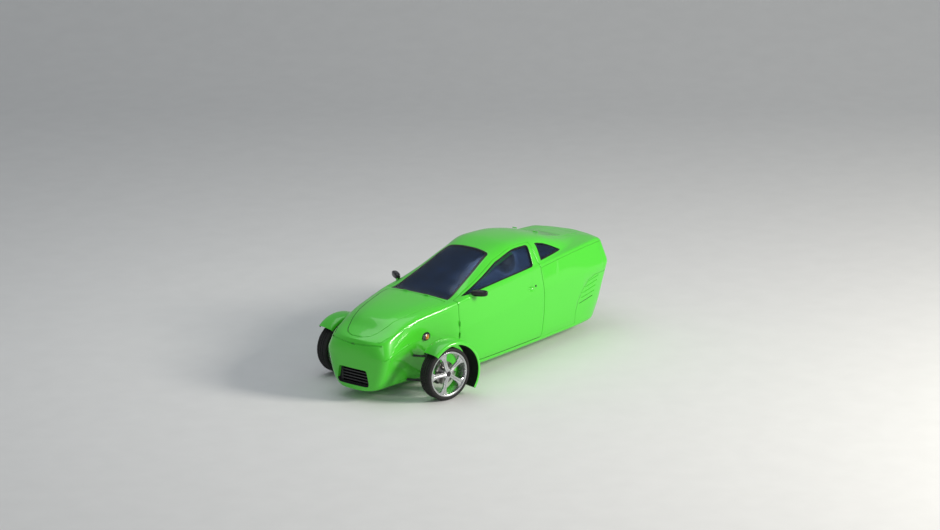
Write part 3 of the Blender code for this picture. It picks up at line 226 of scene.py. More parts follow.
# Tail lamp outline in y and z, on the left
TAIL_LAMP = (
    (0.25, 0.872), (0.262, 0.86), (0.41, 0.86), (0.422, 0.872), (0.422, 0.908), (0.41, 0.92),
    (0.262, 0.92), (0.25, 0.908),
)

# Walls inside the body
FIREWALL_X = 0.955
BULKHEAD_X = REAR_AXLE_X + 0.409
BULKHEAD_THICK = 0.015
SHELF_Z = 0.655
SHELF_TOP = SHELF_Z + BULKHEAD_THICK

# Engine, one plain block on the tray
ENGINE_LOW = (1.18, -0.2, DECK_Z)
ENGINE_HIGH = (1.62, 0.2, 0.56)

# Seats, one behind the other: side outlines, x and z
SEAT_Y = 0.215
FRONT_SEAT = (
    (-0.3, DECK_Z), (0.22, DECK_Z), (0.29, 0.36), (0.25, 0.4), (-0.18, 0.34), (-0.37, 0.86),
    (-0.4, 0.99), (-0.47, 0.99), (-0.49, 0.86),
)
# The rear seat leans over the bulkhead: distance ahead of it, z
REAR_SEAT = (
    (SEAT_GAP, DECK_Z), (0.425, DECK_Z), (0.455, 0.39), (0.405, 0.43), (0.125, 0.38), (0.015, 0.7),
    (-0.095, 1.01), (-0.145, 1.035), (-0.19, 0.95), (-0.125, SHELF_TOP + SEAT_GAP),
    (SEAT_GAP, SHELF_TOP + SEAT_GAP),
)

# Dashboard and steering wheel
DASH = (
    (FIREWALL_X - SEAT_GAP, 0.56), (FIREWALL_X - SEAT_GAP, 0.87), (0.86, 0.88), (0.7, 0.88),
    (0.61, 0.83), (0.59, 0.72), (0.64, 0.6), (0.76, 0.56),
)
STEERING_AT = (0.43, 0.0, 0.78)
STEERING_TILT = math.radians(25)
STEERING_R = 0.165
STEERING_GRIP = 0.014
STEERING_SPOKES = 3
BOSS_R = 0.04
BOSS_HALF = 0.018
COLUMN_R = 0.022
COLUMN_LENGTH = 0.3

# Mirrors
MIRROR_AT = (0.6, 0.598, 0.984)
MIRROR_SIZE = (0.07, 0.19, 0.074)
MIRROR_SWEEP = math.radians(33)      # the outer end lies back by this
STALK = ((0.7, 0.48, 0.93), (0.625, 0.575, 0.972))
STALK_R = 0.014

# Wheels
TYRE_R = 0.298
TYRE_W = 0.165
RIM_R = TYRE_R - 0.062       # where the tyre sits
RIM_LIP_R = RIM_R + 0.0175
RIM_HALF = TYRE_W / 2 - 0.004
RIM_WALL = 0.01
RIM_LIP_THICK = 0.01
BEAD_HALF = RIM_HALF - RIM_LIP_THICK
SPOKES = 5
SPOKE_FACE = RIM_HALF - 0.01   # the spokes' face lies this far out from the middle plane
HUB_R = 0.062
HUB_BACK = 0.01
# Spoke outline: radius, half-width
SPOKE_OUTLINE = ((HUB_R, 0.024), (RIM_R - 0.086, 0.02), (RIM_R - 0.041, 0.028), (RIM_R - 0.007, 0.05))
SPOKE_END_R = RIM_R - 0.004

# Front fenders: rise of the crowned section above the arc's radius, by share of the half-width
FENDER_R = TYRE_R + 0.068
FENDER_W = TYRE_W + 0.065
FENDER_OUT = 0.017           # the fender's middle lies this far outside the wheel's
FENDER_SECTION = (
    (-1.0, -0.03), (-0.97, -0.006), (-0.8, 0.006), (0.0, 0.016),
    (0.8, 0.006), (0.97, -0.006), (1.0, -0.03),
)
FENDER_BACK = 0.042          # the arc's middle lies this far behind the axle
FENDER_FRONT = math.radians(44)
FENDER_REAR = math.radians(216)
# Fender post, about the kingpin: its place, and the pad on the fender that it carries
POST_X = -0.1
POST_Y = 0.022
PAD_LOW_Z = TYRE_R + 0.302
PAD_SIZE = (0.04, 0.014, 0.036)

# With both front wheels turned, the rear edge of one fender and the front edge of the other reach
# furthest out, so the bounding box's middle lies beside the car's middle line
EDGE_R = FENDER_R + FENDER_SECTION[1][1]
EDGE_UNEVEN = EDGE_R * (1 - math.cos(FENDER_FRONT)) + 2 * FENDER_BACK
ORIGIN_SHIFT = Vector((-(NOSE_X + TAIL_X) / 2, math.sin(STEER_AT_REST) * EDGE_UNEVEN / 2, 0.0))

# Suspension
KNUCKLE_LOW_Z = TYRE_R - 0.118
BALL_H = 0.03
LOWER_ARM_Z = KNUCKLE_LOW_Z - SEAT_GAP - BALL_H / 2

# Rear swing arm
SLOT_X = TYRE_R + 0.062      # the rear wheel's slot in the tray, from the axle
SWING_Y = TYRE_W / 2 + 0.0375
SWING_R = 0.02
SLOT_Y = SWING_Y + SWING_R + 0.075
SLOT_TOP = 0.3
PIVOT_Z = 0.33
PIVOT_X = BULKHEAD_X - BULKHEAD_THICK - SEAT_GAP   # the pad's front face

LOOKS = bpy.data.collections.new("looks")
CUTTERS = bpy.data.collections.new("cutters")
bpy.context.scene.collection.children.link(LOOKS)
bpy.context.scene.collection.children.link(CUTTERS)
SKIN_IN = 0.0015             # the finer surface lies this far inside the drawn one


# Materials
def add(tree, kind, **values):
    """A new node. Each value is set, or linked where it is another node's output."""
    made = tree.nodes.new("ShaderNode" + kind)
    for name, value in values.items():
        socket = made.inputs.get(name.replace("_", " "))
        if isinstance(value, bpy.types.NodeSocket):
            tree.links.new(value, socket)
        elif socket:
            socket.default_value = value
        else:
            setattr(made, name, value)
    return made


# A texture is told as its node, its output and its sockets
def noise(scale, detail=3.0):
    return "TexNoise", "Fac", {"Scale": scale, "Detail": detail}


def cells(scale):
    return "TexVoronoi", "Distance", {"Scale": scale}


def weave(scale, direction):
    return "TexWave", "Fac", {"Scale": scale, "Distortion": 0.6, "bands_direction": direction}


FINISHES = {}


def finish(key, name, roughness, metallic, tone, share, shade, bumps=(), rough=None, **sockets):
    """A node material.

    Its tone falls to a share of itself with the texture shade. Each bump is a texture, a strength
    and a distance, and rough is the roughness's texture, lowest and highest value.
    """
    made = bpy.data.materials.new(name)
    made.use_nodes = True
    tree = made.node_tree
    shader = tree.nodes["Principled BSDF"]
    place = add(tree, "TexCoord").outputs["Object"]

    def texture(kind, output, values):
        return add(tree, kind, Vector=place, **values).outputs[output]

    for socket, value in {"Roughness": roughness, "Metallic": metallic, **sockets}.items():
        shader.inputs[socket.replace("_", " ")].default_value = value
    ramp = add(tree, "ValToRGB", Fac=texture(*shade))
    stops = ((0.3, [c * share for c in tone]), (0.7, tone))
    for point, (at, color) in zip(ramp.color_ramp.elements, stops):
        point.position = at
        point.color = (*color, 1.0)
    tree.links.new(ramp.outputs["Color"], shader.inputs["Base Color"])
    if rough:
        span = add(tree, "MapRange", Value=texture(*rough[0]), To_Min=rough[1], To_Max=rough[2])
        tree.links.new(span.outputs["Result"], shader.inputs["Roughness"])
    below = {}
    for kind, strength, distance in bumps:
        bump = add(tree, "Bump", Strength=strength, Distance=distance, Height=texture(*kind), **below)
        below = {"Normal": bump.outputs["Normal"]}
    if below:
        tree.links.new(below["Normal"], shader.inputs["Normal"])
    FINISHES[key] = made


finish("green_paint", "green_paint_fine", 0.3, 0, (0.07, 0.64, 0.028), 0.9, noise(900, 1),
    [(noise(260, 2), 0.035, 0.0006)], (noise(5), 0.26, 0.36), Coat_Weight=0.6, Coat_Roughness=0.04,
    Specular_IOR_Level=0.35)
finish("inside_paint", "green_paint_inside", 0.45, 0, (0.06, 0.42, 0.055), 0.75, noise(40),
    [(noise(300), 0.1, 0.0006)])
finish("black", "black_moulding", 0.42, 0, (0.024, 0.024, 0.027), 0.6, noise(30),
    [(cells(900), 0.18, 0.0004)], (noise(12), 0.36, 0.52))
finish("gloss_black", "gloss_black", 0.22, 0, (0.01, 0.01, 0.012), 0.6, noise(60),
    [(noise(220), 0.03, 0.0004)], (noise(9), 0.18, 0.28))
finish("tyre", "tyre_rubber", 0.8, 0, (0.014, 0.0135, 0.013), 0.5, noise(18, 6),
    [(noise(420), 0.3, 0.0006)], (noise(7), 0.66, 0.9))
finish("seal", "rubber_seal", 0.65, 0, (0.014, 0.014, 0.015), 0.6, noise(80), [(noise(500), 0.2, 0.0004)])
finish("alloy", "cast_alloy", 0.24, 1, (0.62, 0.63, 0.64), 0.82, noise(14, 5),
    [(noise(700), 0.06, 0.0003)], (noise(40), 0.2, 0.34))
finish("steel", "dark_coated_steel", 0.42, 0.4, (0.045, 0.045, 0.048), 0.5, noise(25),
    [(noise(350), 0.12, 0.0005)])
finish("disc", "brake_disc", 0.3, 1, (0.36, 0.35, 0.34), 0.7, noise(30, 4), [(noise(500), 0.15, 0.0003)])
finish("cast", "bare_casting", 0.55, 0.8, (0.26, 0.26, 0.27), 0.6, noise(22, 6),
    [(noise(260, 4), 0.35, 0.0012)])
finish("liner", "carpet_liner", 0.95, 0, (0.03, 0.03, 0.033), 0.4, noise(500, 5),
    [(noise(900, 4), 0.8, 0.0016)])
finish("cloth", "seat_weave", 0.92, 0, (0.17, 0.17, 0.185), 0.45, weave(260, "Y"),
    [(weave(260, "Y"), 0.5, 0.0006), (weave(260, "Z"), 0.5, 0.0006)], Sheen_Weight=0.35)
finish("side_cloth", "seat_side", 0.8, 0, (0.03, 0.03, 0.034), 0.6, noise(60),
    [(cells(420), 0.35, 0.0008)], Sheen_Weight=0.2)
finish("amber", "amber_lens", 0.1, 0, (0.8, 0.34, 0.03), 0.75, weave(60, "Z"),
    [(weave(90, "Z"), 0.25, 0.0015)], Coat_Weight=0.8, Transmission_Weight=0.25)
finish("red", "red_lens_fine", 0.1, 0, (0.46, 0.012, 0.01), 0.7, weave(70, "Y"),
    [(weave(70, "Y"), 0.3, 0.0015)], Coat_Weight=0.8)
finish("clear", "clear_lens", 0.04, 0, (0.92, 0.94, 0.95), 0.96, noise(40),
    [(weave(80, "Y"), 0.12, 0.001)], Transmission_Weight=0.9, IOR=1.45)
finish("chrome", "bright_plate", 0.08, 1, (0.8, 0.81, 0.82), 0.9, noise(30),
    rough=(noise(60), 0.05, 0.14))
finish("floor", "pale_floor", 0.85, 0, (0.7, 0.7, 0.69), 0.97, noise(3), [(noise(120), 0.05, 0.001)])


def tinted_glass(name, tint):
    """Thin dark glass: clear straight on and mirror-like at a slant, with a little haze."""
    made = bpy.data.materials.new(name)
    made.use_nodes = True
    tree = made.node_tree
    tree.nodes.remove(tree.nodes["Principled BSDF"])
    place = add(tree, "TexCoord").outputs["Object"]
    haze = add(tree, "TexNoise", Scale=6.0, Vector=place).outputs["Fac"]
    ramp = add(tree, "ValToRGB", Fac=haze)
    for point, share in zip(ramp.color_ramp.elements, (0.85, 1.0)):
        point.color = (*[c * share for c in tint], 1.0)
    span = add(tree, "MapRange", Value=haze, To_Min=0.1, To_Max=0.15)
    through = add(tree, "BsdfTransparent", Color=ramp.outputs["Color"])
    mirror = add(tree, "BsdfGlossy", Color=(0.72, 0.84, 1.0, 1.0), Roughness=span.outputs["Result"])
    mix = add(tree, "MixShader", Fac=add(tree, "Fresnel", IOR=1.42).outputs["Fac"])
    tree.links.new(through.outputs["BSDF"], mix.inputs[1])
    tree.links.new(mirror.outputs["BSDF"], mix.inputs[2])
    tree.links.new(mix.outputs["Shader"], tree.nodes["Material Output"].inputs["Surface"])
    return made


FINISHES["glass"] = tinted_glass("tinted_glass", (0.58, 0.65, 0.76))


# Small tools
def put(made, finish=None):
    """Put an object with the looks, or with the cutters when it has no finish."""
    for old in made.users_collection:
        old.objects.unlink(made)
    if finish is None:
        CUTTERS.objects.link(made)
        made.hide_render = True
        return made
    LOOKS.objects.link(made)
    made.data.materials.clear()
    made.data.materials.append(FINISHES[finish])
    return made


def mesh_from(name, fill, finish=None):
    """Make an object whose mesh the function fill builds in a bmesh."""
    made = bpy.data.objects.new(name, bpy.data.meshes.new(name))
    work = bmesh.new()
    fill(work)
    bmesh.ops.recalc_face_normals(work, faces=work.faces)
    if work.faces and work.calc_volume(signed=True) < 0:
        bmesh.ops.reverse_faces(work, faces=work.faces)
    work.to_mesh(made.data)
    work.free()
    return put(made, finish)


def bridge(work, rings, closed=True):
    """Faces between neighbouring rings of corners."""
    for first, second in zip(rings, rings[1:]):
        count = len(first)
        for j in range(count if closed else count - 1):
            k = (j + 1) % count
            work.faces.new((first[j], first[k], second[k], second[j]))


def polar(radius, turn, height=0.0):
    return Vector((radius * math.cos(turn), radius * math.sin(turn), height))


def read_off(x, table):
    """The value at x of a table of pairs."""
    return float(np.interp(x, *zip(*table)))


def smooth(made, degrees=32):
    made.data.shade_smooth()
    made.data.set_sharp_from_angle(angle=math.radians(degrees))
    return made


def block(name, low, high, finish=None, bevel=0.0):
    """A box between two corners, with its edges rounded where bevel says."""
    low = Vector(low)
    high = Vector(high)

    def fill(work):
        bmesh.ops.create_cube(work, size=1.0)
        bmesh.ops.scale(work, vec=high - low, verts=work.verts)
        bmesh.ops.translate(work, vec=(high + low) / 2, verts=work.verts)

    made = mesh_from(name, fill, finish)
    if bevel:
        round_edges(made, bevel)
    return made


def round_edges(made, width, segments=2, degrees=40):
    bevel = made.modifiers.new("rounding", "BEVEL")
    bevel.width = width
    bevel.segments = segments
    bevel.limit_method = "ANGLE"
    bevel.angle_limit = math.radians(degrees)
    return made


def cylinder(name, radius, low, high, finish=None, steps=24):
    """A round bar between two points."""
    low = Vector(low)
    high = Vector(high)
    along = high - low
    turn = along.to_track_quat("Z", "Y").to_matrix().to_4x4()

    def fill(work):
        bmesh.ops.create_cone(
            work, cap_ends=True, segments=steps, radius1=radius, radius2=radius, depth=along.length)
        bmesh.ops.transform(work, matrix=Matrix.Translation((low + high) / 2) @ turn, verts=work.verts)

    return mesh_from(name, fill, finish)


def curve_to_mesh(made, finish):
    """Turn a curve object into a closed mesh object of the same name and place."""
    bpy.context.view_layer.update()
    seen = made.evaluated_get(bpy.context.evaluated_depsgraph_get())
    mesh = bpy.data.meshes.new_from_object(seen)
    work = bmesh.new()
    work.from_mesh(mesh)
    bmesh.ops.remove_doubles(work, verts=work.verts, dist=1e-5)
    work.transform(made.matrix_world)
    work.to_mesh(mesh)
    work.free()
    name = made.name
    bpy.data.objects.remove(made)
    return put(bpy.data.objects.new(name, mesh), finish)


def slab(name, outline, low, high, axis, finish=None):
    """A flat outline made thick along an axis, Y for a side outline and Z for a plan one."""
    curve = bpy.data.curves.new(name, "CURVE")
    curve.dimensions = "2D"
    curve.fill_mode = "BOTH"
    curve.extrude = (high - low) / 2
    spline = curve.splines.new("POLY")
    spline.points.add(len(outline) - 1)
    for point, (across, up) in zip(spline.points, outline):
        point.co = (across, up, 0.0, 1.0)
    spline.use_cyclic_u = True
    made = bpy.data.objects.new(name, curve)
    middle = (high + low) / 2
    if axis == "Y":
        made.matrix_world = Matrix.Translation((0, middle, 0)) @ Matrix.Rotation(math.pi / 2, 4, "X")
    elif axis == "X":
        made.matrix_world = Matrix.Translation((middle, 0, 0)) @ Matrix.Rotation(
            math.pi / 2, 4, "Z") @ Matrix.Rotation(math.pi / 2, 4, "X")
    else:
        made.matrix_world = Matrix.Translation((0, 0, middle))
    LOOKS.objects.link(made)
    return curve_to_mesh(made, finish)


def tube(name, points, radius, finish=None, resolution=2):
    """A bar of one thickness along a list of points."""
    curve = bpy.data.curves.new(name, "CURVE")
    curve.dimensions = "3D"
    curve.bevel_depth = radius
    curve.bevel_resolution = resolution
    curve.use_fill_caps = True
    spline = curve.splines.new("POLY")
    spline.points.add(len(points) - 1)
    for point, place in zip(spline.points, points):
        point.co = (*place, 1.0)
    made = bpy.data.objects.new(name, curve)
    LOOKS.objects.link(made)
    return curve_to_mesh(made, finish)


def boolean(made, operation, other):
    cut = made.modifiers.new(operation.lower(), "BOOLEAN")
    cut.operation = operation
    cut.object = other
    return made


def set_in(outline, amount):
    """An outline with its corners moved in by an amount."""
    points = [Vector(point) for point in outline]
    count = len(points)
    area = sum(points[i].cross(points[(i + 1) % count]) for i in range(count))
    side = 1.0 if area > 0 else -1.0
    moved = []
    for i in range(count):
        before = (points[i] - points[i - 1]).normalized()
        after = (points[(i + 1) % count] - points[i]).normalized()
        first = Vector((-before.y, before.x)) * side
        second = Vector((-after.y, after.x)) * side
        inward = (first + second).normalized()
        moved.append(points[i] + inward * amount / max(inward.dot(first), 0.4))
    return [tuple(point) for point in moved]


def mirrored(outline):
    """A closed plan outline from its left half."""
    return list(outline) + [(x, -y) for x, y in reversed(outline)]


def rounded(outline, radius, steps=5):
    """A closed outline with its corners rounded."""
    points = [Vector(point) for point in outline]
    made = []
    for i, corner in enumerate(points):
        before = points[i - 1] - corner
        after = points[(i + 1) % len(points)] - corner
        reach = min(radius, before.length * 0.48, after.length * 0.48)
        start = corner + before.normalized() * reach
        end = corner + after.normalized() * reach
        for step in range(steps + 1):
            t = step / steps
            made.append(tuple(start * (1 - t) ** 2 + corner * 2 * t * (1 - t) + end * t * t))
    return made


# Body surface
def smooth_value(x, knots, values):
    """A smooth curve through the knots, without overshoot."""
    knots = np.asarray(knots)
    values = np.asarray(values)
    steps = np.diff(knots)
    slopes = np.diff(values) / steps
    tangents = np.zeros(len(knots))
    tangents[0] = slopes[0]
    tangents[-1] = slopes[-1]
    for i in range(1, len(knots) - 1):
        if slopes[i - 1] * slopes[i] > 0:
            before = 2 * steps[i] + steps[i - 1]
            after = steps[i] + 2 * steps[i - 1]
            tangents[i] = (before + after) / (before / slopes[i - 1] + after / slopes[i])
    i = int(np.clip(np.searchsorted(knots, x) - 1, 0, len(knots) - 2))
    t = (x - knots[i]) / steps[i]
    return float(
        values[i] * (1 + 2 * t) * (1 - t) ** 2 + steps[i] * tangents[i] * t * (1 - t) ** 2
        + values[i + 1] * t * t * (3 - 2 * t) + steps[i] * tangents[i + 1] * t * t * (t - 1)
    )


STATION_TABLE = np.array(STATIONS)


def section_sizes(x):
    """Every named size of the body's section at x."""
    return {
        column: smooth_value(x, STATION_TABLE[:, 0], STATION_TABLE[:, i])
        for i, column in enumerate(STATION_COLUMNS) if i
    }


def plan_factor(x):
    """How far the rounded nose or tail draws the width in, and the share of the way to that end."""
    for start, end, power in ((NOSE_ROUND_X, NOSE_X, NOSE_POWER), (TAIL_ROUND_X, TAIL_X, TAIL_POWER)):
        share = (x - start) / (end - start)
        if share > 0:
            share = min(share, 1.0)
            return (1 - share ** power) ** (1 / power), math.copysign(share, end)
    return 1.0, 0.0


def raked_x(x, z):
    """The nose's face and the tail's face lean, so an end section isn't upright."""
    for end, rake in ((NOSE_X, NOSE_RAKE), (TAIL_X, TAIL_RAKE)):
        share = 1 - abs(end - x) / RAKE_REACH
        if share > 0:
            ease = share * share * (3 - 2 * share)
            x += ease * read_off(z, rake)
    return x


def half_section(x, inset):
    """The left half of the section at x, from the roof's middle to the floor's, moved in by inset."""
    at = section_sizes(x)
    corners = [
        (0.0, at["top_z"]),
        (CROWN_SHARE * at["rail_y"], at["top_z"]),
        (at["rail_y"], at["rail_z"]),
        (at["base_y"], at["base_z"]),
        (at["belt_y"], at["belt_z"]),
        (at["crease_y"], at["crease_z"]),
        (at["low_y"], at["low_z"]),
        (at["sill_y"], FLOOR_Z),
        (0.0, FLOOR_Z),
    ]
    corners = [Vector(corner) + Vector(way) * inset for corner, way in zip(corners, INSET_WAYS)]
    points = [corners[0]]
    for i, (reach, segments) in enumerate(CORNERS, start=1):
        before = corners[i - 1] - corners[i]
        after = corners[i + 1] - corners[i]
        start_reach = min(reach, before.length * (1.0 if i == 1 else 0.45))
        start = corners[i] + before.normalized() * start_reach
        end = corners[i] + after.normalized() * min(reach, after.length * 0.45)
        for step in range(1 if i == 1 else 0, segments + 1):
            t = step / segments
            points.append(start * (1 - t) ** 2 + corners[i] * 2 * t * (1 - t) + end * t * t)
    points.append(corners[-1])
    factor, end_share = plan_factor(x)
    moved_x = x - inset * end_share
    return [Vector((raked_x(moved_x, z), y * factor, z)) for y, z in points]


def station_places():
    """Where the sections lie, closer together where the ends are rounded."""
    inner = int(math.ceil((NOSE_ROUND_X - TAIL_ROUND_X) / STATION_STEP))
    places = [TAIL_ROUND_X + (NOSE_ROUND_X - TAIL_ROUND_X) * i / inner for i in range(inner + 1)]
    turns = [math.sin(math.pi / 2 * (i + 1) / END_STEPS) for i in range(END_STEPS)]
    nose = [NOSE_ROUND_X + (NOSE_X - NOSE_ROUND_X) * turn for turn in turns]
    tail = [TAIL_ROUND_X + (TAIL_X - TAIL_ROUND_X) * turn for turn in reversed(turns)]
    return tail + places + nose


def body_ring(x, inset):
    """The whole section at x, round from the roof's middle."""
    half = half_section(x, inset)
    return half + [Vector((point.x, -point.y, point.z)) for point in half[-2:0:-1]]


def body_volume(name, inset=0.0):
    """The whole body as a solid, its surface moved in by inset."""
    def fill(work):
        rows = [[work.verts.new(point) for point in body_ring(x, inset)] for x in station_places()]
        count = len(rows[0])
        for first, second in zip(rows, rows[1:]):
            for i in range(count):
                j = (i + 1) % count
                work.faces.new((first[i], first[j], second[j]))
                work.faces.new((first[i], second[j], second[i]))
        bmesh.ops.remove_doubles(work, verts=work.verts, dist=1e-5)
        bmesh.ops.dissolve_degenerate(work, dist=1e-6, edges=work.edges)

    return mesh_from(name, fill)


OUTER = body_volume("outer_surface", SKIN_IN)
INNER = body_volume("inner_surface", WALL)
AROUND = body_volume("around_the_body", -SEAT_GAP)
CLEAR_INSIDE = body_volume("clear_of_the_doors", WALL + DOOR_CLEARANCE)
GLASS_OUTER = body_volume("glass_outer_surface", GLASS_INSET)
GLASS_INNER = body_volume("glass_inner_surface", GLASS_INSET + GLASS_THICK)


def skin(name, regions, holes=(), finish="green_paint", outer=None, inner=None):
    """A panel of the body: the wall between two surfaces, kept in regions, less holes."""
    made = bpy.data.objects.new(name, (outer or OUTER).data.copy())
    put(made, finish)
    boolean(made, "DIFFERENCE", inner or INNER)
    for region in regions:
        boolean(made, "INTERSECT", region)
    for hole in holes:
        boolean(made, "DIFFERENCE", hole)
    return made


def pane(name, region):
    """A sheet of glass that fills a window's region."""
    return skin(name, [region], finish="glass", outer=GLASS_OUTER, inner=GLASS_INNER)


def lean_cut(made, lean, near_x, far_x, height_out):
    """Slant a cutter from upright at near_x to its full lean at far_x."""
    for corner in made.data.vertices:
        share = (corner.co.x - near_x) / (far_x - near_x)
        corner.co.x += lean * height_out(corner.co) * min(max(share, 0.0), 1.0)


def side_cutter(name, outline, move=0.0, side=1, pillar=None, lean=0.0):
    """A side outline as a cutter through one side of the body, or through both.

    The front pillar's plan line, moved out by pillar, limits it towards the windshield.
    """
    low = {1: MIDDLE_CLEAR, -1: -SIDE_REACH, 0: -SIDE_REACH}[side]
    high = {1: SIDE_REACH, -1: -MIDDLE_CLEAR, 0: SIDE_REACH}[side]
    made = slab(name, set_in(outline, move), low, high, "Y")
    if lean:
        lean_cut(made, lean, DOOR_FRONT_X, DOOR_REAR_X, lambda place: abs(place.y) - DOOR_HINGE[1])
    if pillar is not None:
        plan = [(x, side * (y + pillar)) for x, y in PILLAR_LINE]
        plan += [(x, side * SIDE_REACH * 1.1) for x in (PILLAR_LINE[-1][0], PILLAR_LINE[0][0])]
        boolean(made, "INTERSECT", slab(name + "_plan", plan, 0.0, ROOF_CLEAR_Z, "Z"))
    return made


def plan_cutter(name, outline, move=0.0, lean=0.0):
    """A plan outline as a cutter through the roof."""
    made = slab(name, set_in(mirrored(outline), move), LID_LOW_Z, ROOF_CLEAR_Z, "Z")
    if lean:
        lean_cut(made, lean, outline[0][0], outline[-1][0],
            lambda place: place.z - section_sizes(place.x)["top_z"])
    return made


def side_outline(low_z):
    """The door's outline with its bottom edge at another height."""
    return [(x, low_z if z == DOOR_LOW_Z else z) for x, z in DOOR_OUTLINE]


# Cutters for the panels
door_hole = side_cutter("door_hole", DOOR_OUTLINE, -SHUT_GAP, pillar=-SHUT_GAP, lean=DOOR_LEAN)
# The right side has no door, so its panel stands on the tray
right_hole = side_cutter("right_hole", side_outline(0.0), -SEAM_GAP, side=-1, pillar=-SEAM_GAP)
hood_hole = plan_cutter("hood_hole", HOOD_OUTLINE, -SHUT_GAP, HOOD_LEAN)
windshield_hole = plan_cutter("windshield_hole", WINDSHIELD_OUTLINE)
hatch_hole = plan_cutter("hatch_hole", HATCH_OUTLINE, -SHUT_GAP, HATCH_LEAN)
quarter_window_hole = side_cutter("quarter_window_hole", QUARTER_WINDOW, side=0)
mouth_hole = slab("mouth_hole", rounded(MOUTH, 0.03), NOSE_X - MOUTH_DEPTH, NOSE_X + END_REACH, "X")

FOOT_Z = TRAY_TOP + SEAT_GAP
FAR_NOSE_X = NOSE_X + END_REACH
FAR_TAIL_X = TAIL_X - END_REACH
HALF_SEAM = SEAM_GAP / 2
tray_region = block("tray_region", (FAR_TAIL_X, -SIDE_REACH, 0), (FAR_NOSE_X, SIDE_REACH, TRAY_TOP))
above_tray = block("above_tray", (FAR_TAIL_X, -SIDE_REACH, FOOT_Z),
    (FAR_NOSE_X, SIDE_REACH, ROOF_CLEAR_Z))
front_region = side_cutter("front_region", (
    (SHELL_REAR_X, FOOT_Z), (FAR_NOSE_X, FOOT_Z), (FAR_NOSE_X, ROOF_CLEAR_Z), (COWL_X, ROOF_CLEAR_Z),
    (COWL_X, COWL_Z), (SHELL_REAR_X, COWL_Z),
    ), side=0)
roof_region = side_cutter("roof_region", (
    (COWL_X - SEAM_GAP, ROOF_CLEAR_Z), (COWL_X - SEAM_GAP, COWL_Z + SEAM_GAP),
    (QUARTER_FRONT_X, COWL_Z + SEAM_GAP), (QUARTER_FRONT_X, BELT_CUT[0][1] + HALF_SEAM),
    *[(x, z + HALF_SEAM) for x, z in BELT_CUT], (FAR_TAIL_X, ROOF_CLEAR_Z),
    ), side=0)
belt_of_quarter = [(x, z - HALF_SEAM) for x, z in BELT_CUT if x >= TAIL_PANEL_X]
quarter_outline = (
    (QUARTER_FRONT_X, FOOT_Z), (TAIL_PANEL_X, FOOT_Z), *reversed(belt_of_quarter),
    (QUARTER_FRONT_X, BELT_CUT[0][1] - HALF_SEAM),
)
tail_front_x = TAIL_PANEL_X - SEAT_GAP
tail_outline = (
    (tail_front_x, FOOT_Z), (FAR_TAIL_X, FOOT_Z), (FAR_TAIL_X, BELT_CUT[-1][1] - HALF_SEAM),
    (tail_front_x, BELT_CUT[-2][1] - HALF_SEAM),
)
quarter_left_region = side_cutter("quarter_left_region", quarter_outline)
quarter_right_region = side_cutter("quarter_right_region", quarter_outline, side=-1)
tail_region = side_cutter("tail_region", tail_outline, side=0)
tail_low_region = side_cutter("tail_low_region", TAIL_CUT, side=0)
tail_low_hole = side_cutter("tail_low_hole", TAIL_CUT, -SEAM_GAP, side=0)


def settle(made, body="root", stands_for=(), bevel=0.0, degrees=30, inside=None):
    """Bake modifiers and place into the mesh, shift it, and let it ride on its body."""
    bpy.context.view_layer.update()
    seen = made.evaluated_get(bpy.context.evaluated_depsgraph_get())
    mesh = bpy.data.meshes.new_from_object(seen)
    mesh.transform(made.matrix_world)
    marks = [face.material_index for face in mesh.polygons] if len(made.data.materials) > 1 else None
    mesh.materials.clear()
    for old in made.data.materials:
        mesh.materials.append(old)
    if inside:
        mesh.materials.append(FINISHES[inside])
    if marks:
        mesh.polygons.foreach_set("material_index", marks)
    work = bmesh.new()
    work.from_mesh(mesh)
    if bevel:
        bmesh.ops.remove_doubles(work, verts=work.verts, dist=0.0005)
        bmesh.ops.dissolve_degenerate(work, dist=1e-5, edges=work.edges)
        edges = [e for e in work.edges if len(e.link_faces) == 2 and e.calc_face_angle(0) > math.radians(
            50)]
        bmesh.ops.bevel(
            work, geom=edges, offset=bevel, segments=2, profile=0.5, affect="EDGES", clamp_overlap=False)
    if inside:
        for face in work.faces:
            middle = face.calc_center_median()
            outward = Vector((0.0, middle.y, middle.z - 0.65))
            if face.normal.dot(outward.normalized()) < -0.35:
                face.material_index = 1
    work.to_mesh(mesh)
    work.free()
    mesh.transform(Matrix.Translation(ORIGIN_SHIFT))
    name = made.name
    bpy.data.objects.remove(made)
    done = bpy.data.objects.new(name, mesh)
    LOOKS.objects.link(done)
    smooth(done, degrees)
    return finish_piece(done, body, stands_for)


def finish_piece(done, body, stands_for):
    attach(done, body)
    if stands_for:
        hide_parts(*stands_for)
    return done


# Lamps
def flip(place, side):
    """A place on the left, or its mirror image on the right."""
    return (place[0], place[1] * side, place[2])


def egg(name, centre, size, finish=None, steps=48):
    """A ball stretched to three half-sizes."""
    def fill(work):
        bmesh.ops.create_uvsphere(work, u_segments=steps, v_segments=steps // 2, radius=1.0)
        bmesh.ops.scale(work, vec=size, verts=work.verts)
        bmesh.ops.translate(work, vec=centre, verts=work.verts)

    return mesh_from(name, fill, finish)


